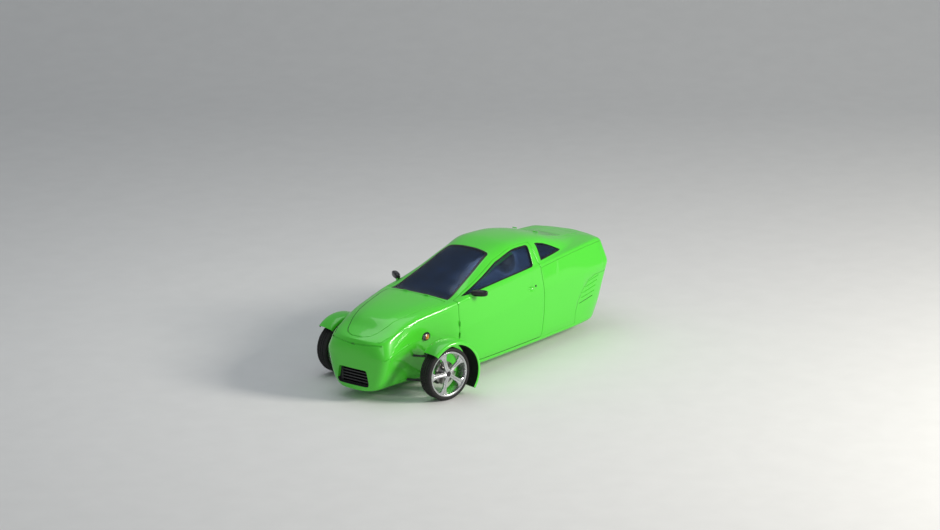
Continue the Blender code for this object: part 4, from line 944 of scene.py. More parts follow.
lamp_holes = []
tail_lamp_holes = []
for side, word in SIDES:
    pod = egg("lamp_pod_" + word, flip(LAMP_AT, side), LAMP_SIZE, "gloss_black")
    lens = egg("lamp_lens_" + word, flip(LAMP_AT, side), [size * 1.004 for size in LAMP_SIZE], "amber")
    low = (LAMP_AT[0] - 0.012, min(0.3 * side, 0.6 * side), LAMP_AT[2] - 0.026)
    high = (LAMP_AT[0] + 0.034, max(0.3 * side, 0.6 * side), LAMP_AT[2] + 0.024)
    window = block("lamp_window_" + word, low, high)
    boolean(lens, "INTERSECT", window)
    glint = egg("lamp_clear_" + word, flip(LAMP_AT, side), [size * 1.004 for size in LAMP_SIZE], "clear")
    low = (LAMP_AT[0] + 0.038, low[1], LAMP_AT[2] - 0.03)
    high = (LAMP_AT[0] + 0.08, high[1], LAMP_AT[2] + 0.024)
    boolean(glint, "INTERSECT", block("lamp_clear_window_" + word, low, high))
    settle(lens)
    settle(glint)
    settle(pod, stands_for=("lamp_" + word,))
    lamp_holes.append(egg("lamp_hole_" + word, flip(LAMP_AT, side),
        [size + 0.0015 for size in LAMP_SIZE]))
    outline = rounded([(y * side, z) for y, z in TAIL_LAMP], 0.006, 2)
    lens = slab("tail_lamp_region_" + word, outline, FAR_TAIL_X, TAIL_PANEL_X, "X")
    settle(skin("tail_lamp_lens_" + word, [lens], finish="red"),
        stands_for=("tail_lamp_" + word,))
    hole = set_in([(y * side, z) for y, z in TAIL_LAMP], -0.003)
    tail_lamp_holes.append(slab("tail_lamp_hole_" + word, hole, FAR_TAIL_X, TAIL_PANEL_X, "X"))

# Body panels
slot_front = REAR_AXLE_X + SLOT_X
wheel_slot = block("wheel_slot", (REAR_AXLE_X - SLOT_X, -SLOT_Y, 0),
    (slot_front + MIDDLE_CLEAR, SLOT_Y, SLOT_TOP))
behind_slot = block(
    "behind_the_slot", (FAR_TAIL_X, -SIDE_REACH, 0), (slot_front, SIDE_REACH, ROOF_CLEAR_Z))
ahead_of_slot = block(
    "ahead_of_the_slot", (slot_front + SEAT_GAP, -SIDE_REACH, 0), (FAR_NOSE_X, SIDE_REACH, ROOF_CLEAR_Z))
EDGE = 0.0022


def panel(name, regions, holes, body="root", inside="liner", edge=EDGE):
    settle(skin(name + "_panel", regions, holes), body, (name,), edge, inside=inside)


panel("floor_tray", [tray_region, ahead_of_slot], [])
panel("tail_tray", [tray_region, behind_slot], [wheel_slot])
# Handle recess in the door, and louvres in the tail's sides
HANDLE_AT = (-0.385, 0.586, 0.806)
LOCK_AT = (-0.47, 0.575, 0.817)
recess = egg("handle_recess", HANDLE_AT, (0.06, 0.024, 0.03))
LOUVRE_DEPTH = body_volume("louvre_floor", 0.011)
# Louvre lines on the tail's side: x and z of the front end, x and z of the rear end
LOUVRES = (
    ((-1.325, 0.405), (-1.59, 0.443)), ((-1.357, 0.464), (-1.614, 0.498)),
    ((-1.388, 0.522), (-1.64, 0.558)),
    ((-1.424, 0.58), (-1.665, 0.616)), ((-1.49, 0.636), (-1.691, 0.666)),
)
louvre_cuts = []
for side, word in SIDES:
    for i, (front, back) in enumerate(LOUVRES):
        front = Vector(front)
        back = Vector(back)
        rise = Vector((0.0, 0.0085))
        low = 0.4 if side == 1 else -0.7
        line = [tuple(point) for point in (front, back, back + rise, front + rise * 0.7)]
        cut = slab(f"louvre_cut_{word}_{i}", line, low, low + 0.3, "Y")
        louvre_cuts.append(boolean(cut, "DIFFERENCE", LOUVRE_DEPTH))
# Folds pressed into the nose's sides, and the ledge across it
FOLDS = (
    ((2.03, 0.372, 0.503), (2.008, 0.4, 0.511), (1.91, 0.429, 0.551), (1.772, 0.428, 0.58),
        (1.636, 0.43, 0.611)),
    ((2.01, 0.29, 0.688), (1.978, 0.325, 0.696), (1.853, 0.369, 0.741), (1.704, 0.402, 0.782),
        (1.551, 0.425, 0.818)),
)
LEDGE = (
    (2.003, 0.346, 0.655), (2.066, 0.177, 0.656), (2.084, 0.0, 0.65), (2.066, -0.177, 0.656),
    (2.003, -0.346, 0.655),
)
FOLD_R = 0.0075
LEDGE_R = 0.009


def on_surface(points, surface, count=48):
    """Points close together along a line, each brought onto a surface."""
    mesh = surface.data
    tree = BVHTree.FromPolygons([v.co for v in mesh.vertices], [f.vertices for f in mesh.polygons])
    line = [Vector(point) for point in points]
    places = []
    for step in range(count + 1):
        at = (len(line) - 1) * step / count
        i = min(int(at), len(line) - 2)
        t = at - i
        before = line[max(i - 1, 0)]
        after = line[min(i + 2, len(line) - 1)]
        place = 0.5 * (
            2 * line[i] + (line[i + 1] - before) * t
            + (2 * before - 5 * line[i] + 4 * line[i + 1] - after) * t * t
            + (3 * line[i] - before - 3 * line[i + 1] + after) * t ** 3)
        places.append(tree.find_nearest(place)[0])
    return places


fold_cuts = [tube("ledge_cut", on_surface(LEDGE, OUTER), LEDGE_R, resolution=4)]
for side, word in SIDES:
    for i, fold in enumerate(FOLDS):
        points = on_surface([flip(point, side) for point in fold], OUTER)
        fold_cuts.append(tube(f"fold_{word}_{i}", points, FOLD_R, resolution=4))
front_holes = [door_hole, right_hole, hood_hole, windshield_hole, mouth_hole, *lamp_holes, *fold_cuts]
panel("front_shell", [front_region], front_holes, edge=0.0)
panel("hood", [plan_cutter("hood_region", HOOD_OUTLINE, lean=HOOD_LEAN)], [], "hood", "inside_paint")
panel("roof_shell", [roof_region], [door_hole, right_hole, windshield_hole, hatch_hole,
    quarter_window_hole])
panel("quarter_left", [quarter_left_region], [door_hole, tail_low_hole])
panel("quarter_right", [quarter_right_region], [right_hole, tail_low_hole])
panel("tail_upper", [tail_region], [tail_low_hole, hatch_hole, *tail_lamp_holes])
panel("tail_lower", [tail_low_region, above_tray], louvre_cuts, edge=0.0)
door_region = side_cutter("door_region", DOOR_OUTLINE, pillar=0.0, lean=DOOR_LEAN)
door_window_hole = side_cutter("door_window_hole", DOOR_WINDOW, pillar=DOOR_FRAME)
panel("door_left", [door_region], [door_window_hole, recess], "door_left")
side_region = side_cutter("side_region", side_outline(FOOT_Z), side=-1, pillar=0.0)
side_window_hole = side_cutter("side_window_hole", DOOR_WINDOW, side=-1, pillar=DOOR_FRAME)
panel("side_right", [side_region], [side_window_hole])
hatch_window_hole = plan_cutter("hatch_window_hole", HATCH_WINDOW)
hatch_region = plan_cutter("hatch_region", HATCH_OUTLINE, lean=HATCH_LEAN)
panel("hatch", [hatch_region], [hatch_window_hole], "hatch")

# Glass, each pane with a dark band round its edge
BAND_RISE = 0.0028           # a band's face lies this far above the glass
BAND_FOOT = 0.0012           # and its back this far
BAND_OUTER = body_volume("band_outer_surface", GLASS_INSET - BAND_RISE)
BAND_INNER = body_volume("band_inner_surface", GLASS_INSET - BAND_FOOT)
SLAT_TOP = body_volume("slat_surface", 0.002)
WIND_BAND = 0.026            # widths of the bands
HATCH_BAND = 0.014
SIDE_BAND = 0.013


def band(name, region, hole, body="root"):
    made = skin(name, [region], [hole], "gloss_black", BAND_OUTER, BAND_INNER)
    settle(made, body)


def glass(name, region, node, body="root"):
    settle(pane(name, region), body, (node,))


glass("windshield_pane", plan_cutter("windshield_region", WINDSHIELD_OUTLINE, SEAT_GAP), "windshield")
band("windshield_band", plan_cutter("wind_band", WINDSHIELD_OUTLINE, SEAT_GAP),
    plan_cutter("wind_band_hole", WINDSHIELD_OUTLINE, WIND_BAND))
glass("hatch_pane", plan_cutter("hatch_glass_region", HATCH_WINDOW, SEAT_GAP), "hatch_glass", "hatch")
band("hatch_band", plan_cutter("hatch_band_region", HATCH_WINDOW, SEAT_GAP),
    plan_cutter("hatch_band_hole", HATCH_WINDOW, HATCH_BAND), "hatch")
# Flush slats over the rear window, in the body's colour
SLATS = 7
SLAT_PITCH = (HATCH_WINDOW[0][0] - HATCH_WINDOW[-1][0]) / SLATS
slat_region = plan_cutter("slat_region", HATCH_WINDOW, 0.004)
for i in range(SLATS):
    x = HATCH_WINDOW[0][0] - SLAT_PITCH * (i + 0.88)
    across = block(f"slat_space_{i}", (x, -SIDE_REACH, 0.5), (x + SLAT_PITCH * 0.76, SIDE_REACH, 1.5))
    settle(skin(f"rear_slat_{i}", [slat_region, across], outer=SLAT_TOP, inner=BAND_OUTER), "hatch")
for side, word in SIDES:
    body = SIDE_BODY[side]
    region = side_cutter(
        "side_glass_region_" + word, DOOR_WINDOW, SEAT_GAP, side, pillar=DOOR_FRAME + SEAT_GAP)
    glass("side_pane_" + word, region, "side_glass_" + word, body)
    hole = side_cutter("side_band_hole_" + word, DOOR_WINDOW, SIDE_BAND, side,
        pillar=DOOR_FRAME + SIDE_BAND)
    band("side_band_" + word, region, hole, body)
    region = side_cutter("quarter_glass_region_" + word, QUARTER_WINDOW, SEAT_GAP, side)
    glass("quarter_pane_" + word, region, "quarter_glass_" + word)
# The quarter windows' bands, the right one mirrored from the left one
region = side_cutter("quarter_band_region", QUARTER_WINDOW, SEAT_GAP)
middle_x = sum(x for x, z in QUARTER_WINDOW) / len(QUARTER_WINDOW)
middle_z = sum(z for x, z in QUARTER_WINDOW) / len(QUARTER_WINDOW)
hole = side_cutter("quarter_band_hole", [
    (middle_x + (x - middle_x) * 0.9, middle_z + (z - middle_z) * 0.8) for x, z in QUARTER_WINDOW])
for side, word in SIDES:
    made = skin("quarter_band_" + word, [region], [hole], "gloss_black", BAND_OUTER, BAND_INNER)
    made = settle(made)
    if side == -1:
        shift = Matrix.Translation(ORIGIN_SHIFT)
        made.data.transform(shift @ Matrix.Scale(-1, 4, (0, 1, 0)) @ shift.inverted())
        made.data.flip_normals()
# Black sails at the front corners of the side windows, which carry the mirrors
for side, word in SIDES:
    sail_region = side_cutter("sail_region_" + word, DOOR_WINDOW, SEAT_GAP, side,
        pillar=DOOR_FRAME + SEAT_GAP)
    ahead = block("ahead_of_sail_" + word, (0.69, -SIDE_REACH, 0.5), (1.0, SIDE_REACH, 1.3))
    made = skin("mirror_sail_" + word, [sail_region, ahead], [], "black", BAND_OUTER, BAND_INNER)
    settle(made, SIDE_BODY[side])

# Door handle and its lock
flap = egg("door_handle", (-0.372, 0.57, 0.806), (0.036, 0.006, 0.013), "green_paint")
settle(flap, "door_left")
lock_x, lock_y, lock_z = LOCK_AT
lock = cylinder("door_lock", 0.0125, (lock_x, 0.56, lock_z), (lock_x, lock_y + 0.003, lock_z),
    "gloss_black", 40)
settle(lock, "door_left", bevel=0.002)

# Barrels of the door's and the lids' hinges
def barrel(name, at, along, body):
    at = Vector(at)
    along = Vector(along)
    for part, way in (("fixed", -1), ("moving", 1)):
        near = at + along * way * SEAT_GAP
        far = at + along * way * HINGE_LENGTH / 2
        made = cylinder(f"{name}_{part}", HINGE_R, near, far, "green_paint", 20)
        settle(made, body if way == 1 else "root")


for i, height in enumerate(DOOR_HINGE_Z):
    barrel(f"door_barrel_{i}", (*DOOR_HINGE, height), (0, 0, 1), "door_left")
for name, x in (("hood", HOOD_HINGE_X), ("hatch", HATCH_HINGE_X)):
    for side, word in SIDES:
        height = section_sizes(x)["top_z"] + LID_HINGE_RISE
        barrel(f"{name}_barrel_{word}", (x, LID_HINGE_Y * side, height), (0, side, 0), name)


# Wheels
def settle_on(made, matrix, body, stands_for=(), bevel=0.0, degrees=30):
    made.matrix_world = matrix
    return settle(made, body, stands_for, bevel, degrees)


def spin(name, profile, steps, finish, shape=None):
    """A closed profile of radius and height turned about Z, each corner moved by shape."""
    def fill(work):
        rings = []
        for step in range(steps):
            corners = [shape(*corner, step) if shape else corner for corner in profile]
            turn = math.tau * step / steps
            rings.append([work.verts.new(polar(radius, turn, height)) for radius, height in corners])
        bridge(work, rings + rings[:1])

    return mesh_from(name, fill, finish)


TREAD_BLOCKS = 62
TREAD_STEPS = TREAD_BLOCKS * 5
GROOVES = (-0.034, 0.0, 0.034)
GROOVE = 0.0045
GROOVE_DEPTH = 0.0065
SHOULDER = TYRE_W / 2 - 0.018


def tyre_profile():
    """Tyre outline from the outer bead over the tread to the inner bead."""
    outer = [
        (RIM_R + 0.0006, BEAD_HALF - 0.0006), (RIM_LIP_R, BEAD_HALF - 0.0006),
        (RIM_LIP_R + 0.002, RIM_HALF - 0.001),
        (RIM_LIP_R + 0.007, RIM_HALF + 0.0015), (RIM_LIP_R + 0.01, RIM_HALF + 0.0032),
        (RIM_LIP_R + 0.012, RIM_HALF + 0.0018), (TYRE_R - 0.034, TYRE_W / 2 - 0.0012),
        (TYRE_R - 0.028, TYRE_W / 2 - 0.0002), (TYRE_R - 0.02, TYRE_W / 2 - 0.0012),
        (TYRE_R - 0.01, TYRE_W / 2 - 0.006), (TYRE_R - 0.0045, SHOULDER + 0.004),
        (TYRE_R - 0.0015, SHOULDER - 0.004),
    ]
    tread = []
    for middle in sorted(GROOVES, reverse=True):
        tread += [
            (TYRE_R, middle + GROOVE + 0.0008), (TYRE_R - GROOVE_DEPTH, middle + GROOVE),
            (TYRE_R - GROOVE_DEPTH, middle - GROOVE), (TYRE_R, middle - GROOVE - 0.0008),
        ]
    inner = [(radius, -height) for radius, height in reversed(outer)]
    return outer + tread + inner


def tread_shape(radius, height, step):
    """Cross grooves between the tread blocks, staggered from row to row."""
    row = 0 if abs(height) < 0.034 else 1
    phase = (step + 2 * row + int(abs(height) * 60)) % 5
    if radius > TYRE_R - 0.003 and phase == 0:
        radius -= 0.005
    return radius, height


SPOKE_STATIONS = 12
SPOKE_ROOT_R = 0.03
SPOKE_SPREAD = 1.16          # the visible spokes are wider than the CAD model's by this
# Spoke section: share of the half-width, fall below the face
SPOKE_SECTION = (
    (-1.0, -0.02), (-1.0, -0.006), (-0.86, -0.001), (-0.5, 0.0), (-0.16, -0.001), (0.0, -0.0035),
    (0.16, -0.001), (0.5, 0.0), (0.86, -0.001), (1.0, -0.006), (1.0, -0.02),
)


def wheel(word, pivot, place, side):
    """Tyre, rim with five broad spokes, hub, centre cap, nuts and brake disc."""
    matrix = pivot @ Matrix.Translation(place) @ Matrix.Rotation(-math.pi / 2 * side, 4, "X")
    body = "wheel_" + word
    tyre = spin("tyre_tread_" + word, tyre_profile(), TREAD_STEPS, "tyre", tread_shape)
    settle_on(tyre, matrix, body, ("tyre_" + word,), degrees=38)
    lip = RIM_LIP_R - 0.0006
    barrel_profile = [
        (lip, RIM_HALF - 0.001), (lip - 0.0015, RIM_HALF), (lip - 0.006, RIM_HALF),
        (RIM_R - 0.002, RIM_HALF - 0.006),
        (RIM_R - 0.006, RIM_HALF - 0.016), (RIM_R - RIM_WALL, RIM_HALF - 0.03), (RIM_R - 0.016, 0.01),
        (RIM_R - 0.018, -0.02), (RIM_R - RIM_WALL, -RIM_HALF + 0.01), (RIM_R - 0.004, -RIM_HALF),
        (lip, -RIM_HALF),
        (lip, -BEAD_HALF), (RIM_R, -BEAD_HALF), (RIM_R - 0.006, -0.025), (RIM_R - 0.008, 0.012),
        (RIM_R, BEAD_HALF - 0.01), (RIM_R, BEAD_HALF), (lip, BEAD_HALF),
    ]
    rim = spin("rim_barrel_" + word, barrel_profile, 96, "alloy")
    settle_on(rim, matrix, body, ("rim_" + word,), degrees=25)
    face = SPOKE_FACE - 0.0005

    def fill(work):
        for i in range(SPOKES):
            rows = []
            for step in range(SPOKE_STATIONS + 1):
                share = step / SPOKE_STATIONS
                radius = SPOKE_ROOT_R + (SPOKE_END_R - 0.002 - SPOKE_ROOT_R) * share
                half = read_off(radius, SPOKE_OUTLINE) * SPOKE_SPREAD if radius >= HUB_R else 0.024
                top = face - 0.006 * math.sin(math.pi * min(1.0, share * 1.15)) ** 2
                rows.append([
                    work.verts.new(polar(
                        radius, math.tau * i / SPOKES + math.atan2(half * across, radius), top + fall))
                    for across, fall in SPOKE_SECTION])
            bridge(work, rows)
            work.faces.new(rows[0])
            work.faces.new(list(reversed(rows[-1])))

    settle_on(mesh_from("spokes_" + word, fill, "alloy"), matrix, body, degrees=35)
    hub_profile = [
        (0.0265, -HUB_BACK), (HUB_R - 0.004, -HUB_BACK), (HUB_R, 0.0), (HUB_R, face - 0.02),
        (HUB_R - 0.004, face - 0.012), (0.036, face - 0.008), (0.0265, face - 0.008),
    ]
    settle_on(spin("hub_" + word, hub_profile, 64, "alloy"), matrix, body, degrees=35)
    cap_profile = [
        (0.026, face - 0.018), (0.026, face - 0.005), (0.024, face - 0.002), (0.012, face), (0.001, face),
        (0.001, face - 0.018),
    ]
    settle_on(spin("cap_" + word, cap_profile, 48, "black"), matrix, body, degrees=35)
    for i in range(SPOKES):
        angle = math.tau * (i + 0.5) / SPOKES
        low, high = (polar(0.046, angle, face - back) for back in (0.016, 0.004))
        nut = cylinder(f"nut_{word}_{i}", 0.0085, low, high, "chrome", 6)
        settle_on(nut, matrix, body, bevel=0.001)
    rotor = [(0.058, -0.006), (0.128, -0.006), (0.13, -0.003), (0.13, 0.003), (0.128, 0.006),
        (0.058, 0.006)]
    settle_on(spin("brake_rotor_" + word, rotor, 72, "disc"), matrix, body)
    return matrix


def fender(word, pivot, side):
    """A crowned strip bent around the tyre with rolled edges, and the pad that its post carries."""
    section = []
    for i in range(25):
        share = -1 + 2 * i / 24
        rise = 0.016 - 0.022 * abs(share) ** 3.2 if abs(share) < 0.97 else read_off(share, FENDER_SECTION)
        section.append((FENDER_R + rise, FENDER_W / 2 * share))
    section[0] = (FENDER_R - 0.03, -FENDER_W / 2 + 0.0013)
    section[-1] = (FENDER_R - 0.03, FENDER_W / 2 - 0.0013)
    section.insert(1, (FENDER_R - 0.014, -FENDER_W / 2 * 0.978))
    section.insert(-1, (FENDER_R - 0.014, FENDER_W / 2 * 0.978))
    inner = [
        (radius - 0.0035, height * (1 - 0.0035 / (FENDER_W / 2)))
        for radius, height in reversed(section)]
    steps = 64
    matrix = (
        pivot @ Matrix.Translation((-FENDER_BACK, side * (WHEEL_Y - KINGPIN_Y + FENDER_OUT), TYRE_R))
        @ Matrix.Rotation(math.pi / 2, 4, "X") @ Matrix.Rotation(FENDER_FRONT, 4, "Z"))

    def fill(work):
        rings = []
        for step in range(steps + 1):
            turn = (FENDER_REAR - FENDER_FRONT) * step / steps
            rings.append([
                work.verts.new(polar(radius, turn, height)) for radius, height in section + inner])
        bridge(work, rings)
        count = len(rings[0])
        half = len(section)
        for ring in (rings[0], rings[-1]):
            for j in range(half - 1):
                work.faces.new((ring[j], ring[j + 1], ring[count - 2 - j], ring[count - 1 - j]))

    made = mesh_from("fender_sheet_" + word, fill, "green_paint")
    made.data.materials.append(FINISHES["seal"])
    count = len(section) + len(inner)
    for i in range(steps * count):
        made.data.polygons[i].material_index = int(len(section) <= i % count < count - 1)
    settle_on(made, matrix, "knuckle_" + word, ("fender_" + word,), degrees=40)
    pad_x, pad_y, pad_z = PAD_SIZE
    pad = block(
        "fender_bracket_" + word, (POST_X - pad_x / 2, side * POST_Y - pad_y / 2, PAD_LOW_Z),
        (POST_X + pad_x / 2, side * POST_Y + pad_y / 2, PAD_LOW_Z + pad_z), "steel", bevel=0.003)
    settle_on(pad, pivot, "knuckle_" + word)


def coil_over(name, low, high, radius, body="root"):
    """A damper with a spring wound round it."""
    low = Vector(low)
    high = Vector(high)
    along = high - low
    turn = along.to_track_quat("Z", "Y").to_matrix()
    points = []
    for i in range(161):
        coil = polar(radius, math.tau * 8 * i / 160, along.length * (0.12 + 0.7 * i / 160))
        points.append(low + turn @ coil)
    settle(tube(name + "_spring", points, 0.0055, "steel", 3), body, degrees=60)
    for part, wide, near, far, key, steps in (
            ("body", 0.62, 0.0, 0.6, "steel", 32), ("rod", 0.28, 0.55, 1.0, "chrome", 24),
            ("seat", 1.25, 0.09, 0.115, "steel", 32), ("cap", 1.25, 0.825, 0.85, "steel", 32)):
        bar = cylinder(f"{name}_{part}", radius * wide, low.lerp(high, near), low.lerp(high, far), key,
            steps)
        settle(bar, body)


for side, word in SIDES:
    pivot = (
        Matrix.Translation((FRONT_AXLE_X, side * KINGPIN_Y, 0.0))
        @ Matrix.Rotation(STEER_AT_REST, 4, "Z"))
    out = side * (WHEEL_Y - KINGPIN_Y)
    wheel("front_" + word, pivot, (0.0, out, TYRE_R), side)
    fender(word, pivot, side)
    caliper = block("caliper_" + word, (-0.145, out - side * 0.03 - 0.02, TYRE_R - 0.035),
        (-0.095, out - side * 0.03 + 0.012, TYRE_R + 0.045), "cast", bevel=0.008)
    settle_on(caliper, pivot, "knuckle_" + word)
    coil_over(
        "damper_" + word, (FRONT_AXLE_X, side * 0.56, LOWER_ARM_Z + 0.018),
        (FRONT_AXLE_X, side * 0.47, 0.5), 0.026)
rear = Matrix.Translation((REAR_AXLE_X, 0.0, TYRE_R))
wheel("rear", rear, (0.0, 0.0, 0.0), 1)


# Mirrors
for side, word in SIDES:
    half = Vector(MIRROR_SIZE) / 2 - Vector((0.001, 0.001, 0.001))
    body = SIDE_BODY[side]

    def shell(work):
        bmesh.ops.create_uvsphere(work, u_segments=64, v_segments=32, radius=1.0)
        for vert in work.verts:
            for axis in range(3):
                value = vert.co[axis]
                vert.co[axis] = math.copysign(abs(value) ** 0.62, value) * half[axis]
            if vert.co.x < -half.x * 0.62:
                vert.co.x = -half.x * 0.62

    housing = mesh_from("mirror_housing_" + word, shell, "gloss_black")
    place = Matrix.Translation(flip(MIRROR_AT, side)) @ Matrix.Rotation(MIRROR_SWEEP * side, 4, "Z")
    housing.matrix_world = place
    settle(housing, body, ("mirror_" + word,), degrees=40)

    def face(work):
        bmesh.ops.create_uvsphere(work, u_segments=48, v_segments=24, radius=1.0)
        for vert in work.verts:
            for axis in range(1, 3):
                value = vert.co[axis]
                vert.co[axis] = math.copysign(abs(value) ** 0.62, value) * half[axis] * 0.86
            vert.co.x = vert.co.x * 0.0015 - half.x * 0.64

    settle_on(mesh_from("mirror_face_" + word, face, "chrome"), place, body)
    foot = tube("mirror_foot_" + word, [flip(point, side) for point in STALK], STALK_R, "green_paint", 6)
    boolean(foot, "DIFFERENCE", AROUND)
    settle(foot, body, degrees=50)

# Seats: a moulded shell with a padded cushion, backrest and headrest
def pad(name, length, width, thick, matrix, finish="cloth", bolster=0.02):
    """A stuffed pad: crowned on top, pulled in at its seams, with thicker sides."""
    across, along = ((44, 52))

    def height(u, v, way):
        edge = max(0.0, (1 - abs(u) ** 5) * (1 - abs(v) ** 5)) ** 0.38
        if way < 0:
            return -0.3 * thick * edge
        rise = thick * 0.62 + bolster * (1 / (1 + math.exp(-(abs(v) - 0.66) * 22)))
        rise -= 0.01 * math.exp(-((abs(v) - 0.62) / 0.035) ** 2)
        if abs(v) < 0.62:
            for seam in (-0.55, -0.18, 0.18, 0.55):
                rise -= 0.006 * math.exp(-((u - seam) / 0.03) ** 2)
        wrinkle = 0.0018 * math.sin(9 * u + 5 * v * v + way) * math.sin(13 * v + 3 * u)
        return edge * (rise + wrinkle)

    def fill(work):
        sheets = []
        for way in (1, -1):
            sheet = {}
            for i in range(along + 1):
                for j in range(across + 1):
                    u = -1 + 2 * i / along
                    v = -1 + 2 * j / across
                    u = math.sin(u * math.pi / 2) * 0.35 + u * 0.65
                    v = math.sin(v * math.pi / 2) * 0.35 + v * 0.65
                    border = i in (0, along) or j in (0, across)
                    if way < 0 and border:
                        sheet[i, j] = sheets[0][i, j]
                        continue
                    round_in = 1 - 0.045 * (abs(u * v)) ** 6
                    at = Vector((u * length / 2 * round_in, v * width / 2 * round_in, height(u, v, way)))
                    sheet[i, j] = work.verts.new(matrix @ at)
            sheets.append(sheet)
            for i in range(along):
                for j in range(across):
                    work.faces.new((sheet[i, j], sheet[i + 1, j], sheet[i + 1, j + 1], sheet[i, j + 1]))

    made = settle(mesh_from(name, fill, finish), degrees=70)
    return made


def seat(word, outline, node, cushion, back, head):
    """cushion, back and head are each a middle (x, z), a length, a thickness and a slope."""
    shell = slab(
        word + "_shell", rounded(set_in(outline, 0.004), 0.035), -SEAT_Y + 0.012, SEAT_Y - 0.012, "Y",
        "side_cloth")
    settle(shell, stands_for=(node,), bevel=0.01, degrees=40)
    for name, (at, length, thick, slope), wide in (
            ("cushion", cushion, 0.42), ("back", back, 0.41), ("head", head, 0.25)):
        matrix = Matrix.Translation((at[0], 0, at[1])) @ Matrix.Rotation(-math.radians(slope), 4, "Y")
        pad(f"{word}_{name}", length, wide, thick, matrix, bolster=0.004 if name == "head" else 0.02)


seat("front_seat", FRONT_SEAT, "front_seat",
    ((0.035, 0.376), 0.44, 0.06, 8), ((-0.265, 0.6), 0.52, 0.055, 110),
    ((-0.382, 0.925), 0.13, 0.04, 103))
rear_outline = [(BULKHEAD_X + ahead, z) for ahead, z in REAR_SEAT]
seat("rear_seat", rear_outline, "rear_seat",
    ((BULKHEAD_X + 0.262, 0.41), 0.29, 0.05, 10), ((BULKHEAD_X + 0.07, 0.545), 0.33, 0.05, 109),
    ((BULKHEAD_X - 0.035, 0.85), 0.24, 0.04, 109))

# Steering wheel
steering_at = Vector(STEERING_AT)
column_way = Vector((-math.cos(STEERING_TILT), 0.0, math.sin(STEERING_TILT)))
facing = Matrix.Translation(steering_at) @ column_way.to_track_quat("Z", "X").to_matrix().to_4x4()
grip = [
    (STEERING_R + STEERING_GRIP * 0.98 * math.cos(turn), STEERING_GRIP * 0.98 * math.sin(turn))
    for turn in [-math.tau * i / 16 for i in range(16)]
]


def grip_shape(radius, height, step):
    """The grip pinched in a little at every fourth step round the rim."""
    swell = 1 - 0.06 * (step % 4 == 0)
    return STEERING_R + (radius - STEERING_R) * swell, height * swell


settle_on(spin("steering_rim", grip, 120, "black", grip_shape), facing, "steering_wheel",
    ("steering_wheel",), degrees=60)
boss_profile = [
    (0.001, -BOSS_HALF), (BOSS_R, -BOSS_HALF), (BOSS_R, 0.004), (BOSS_R - 0.006, 0.013),
    (0.02, 0.0175), (0.001, 0.0178)]
settle_on(spin("steering_boss", boss_profile, 48, "black"), facing, "steering_wheel")
for i in range(STEERING_SPOKES):
    bar = block(f"steering_bar_{i}", (0.03, -0.013, -0.0055), (STEERING_R - 0.004, 0.013, 0.0055),
        "steel", bevel=0.003)
    settle_on(bar, facing @ Matrix.Rotation(math.tau * i / STEERING_SPOKES, 4, "Z"), "steering_wheel")

# Dashboard: a moulded dash in place of the CAD one, dials under a hood, vents, pedals and the gear lever
dash = slab("dash_moulding", rounded(DASH, 0.03), -SIDE_REACH, SIDE_REACH, "Y", "black")
boolean(dash, "INTERSECT", CLEAR_INSIDE)
boolean(dash, "UNION", cylinder(
    "column_bar", COLUMN_R, steering_at - column_way * (BOSS_HALF + SEAT_GAP),
    steering_at - column_way * COLUMN_LENGTH, steps=32))
settle(dash, stands_for=("dashboard",), degrees=35)
hood_outline = rounded(((0.6, 0.8), (0.57, 0.845), (0.62, 0.895), (0.76, 0.884), (0.76, 0.83)), 0.02)
settle(slab("dial_hood", hood_outline, -0.15, 0.15, "Y", "black"), bevel=0.006)
for i, across in enumerate((-0.08, 0.0, 0.08)):
    at = Vector((0.583, across, 0.832))
    way = Vector((-0.88, 0.0, 0.47)).normalized()
    settle(cylinder(f"dial_ring_{i}", 0.034, at, at + way * 0.01, "chrome", 48), bevel=0.002)
    settle(cylinder(f"dial_face_{i}", 0.031, at, at + way * 0.0107, "gloss_black", 48))
for i, across in enumerate((-0.33, 0.33)):
    vent = block(f"vent_{i}", (0.588, across - 0.055, 0.745), (0.62, across + 0.055, 0.8), "gloss_black",
        bevel=0.004)
    settle(vent)
for i, across in enumerate((-0.13, 0.0, 0.11)):
    bends = ((0.8, across, 0.56), (0.77, across, 0.42), (0.735, across, 0.33))
    arm = tube(f"pedal_arm_{i}", bends, 0.008, "steel", 4)
    settle(arm, degrees=50)
    settle(block(f"pedal_{i}", (0.722, across - 0.032, 0.285), (0.738, across + 0.032, 0.345), "seal",
        bevel=0.005))
lever = tube(
    "gear_lever", ((0.18, -0.27, 0.2), (0.2, -0.27, 0.42), (0.19, -0.268, 0.52)), 0.007, "steel", 4)
settle(lever, degrees=50)
settle(egg("gear_knob", (0.19, -0.268, 0.53), (0.02, 0.02, 0.024), "gloss_black", 32))
settle(block("gear_gaiter", (0.13, -0.31, 0.18), (0.24, -0.23, 0.235), "side_cloth", bevel=0.018))

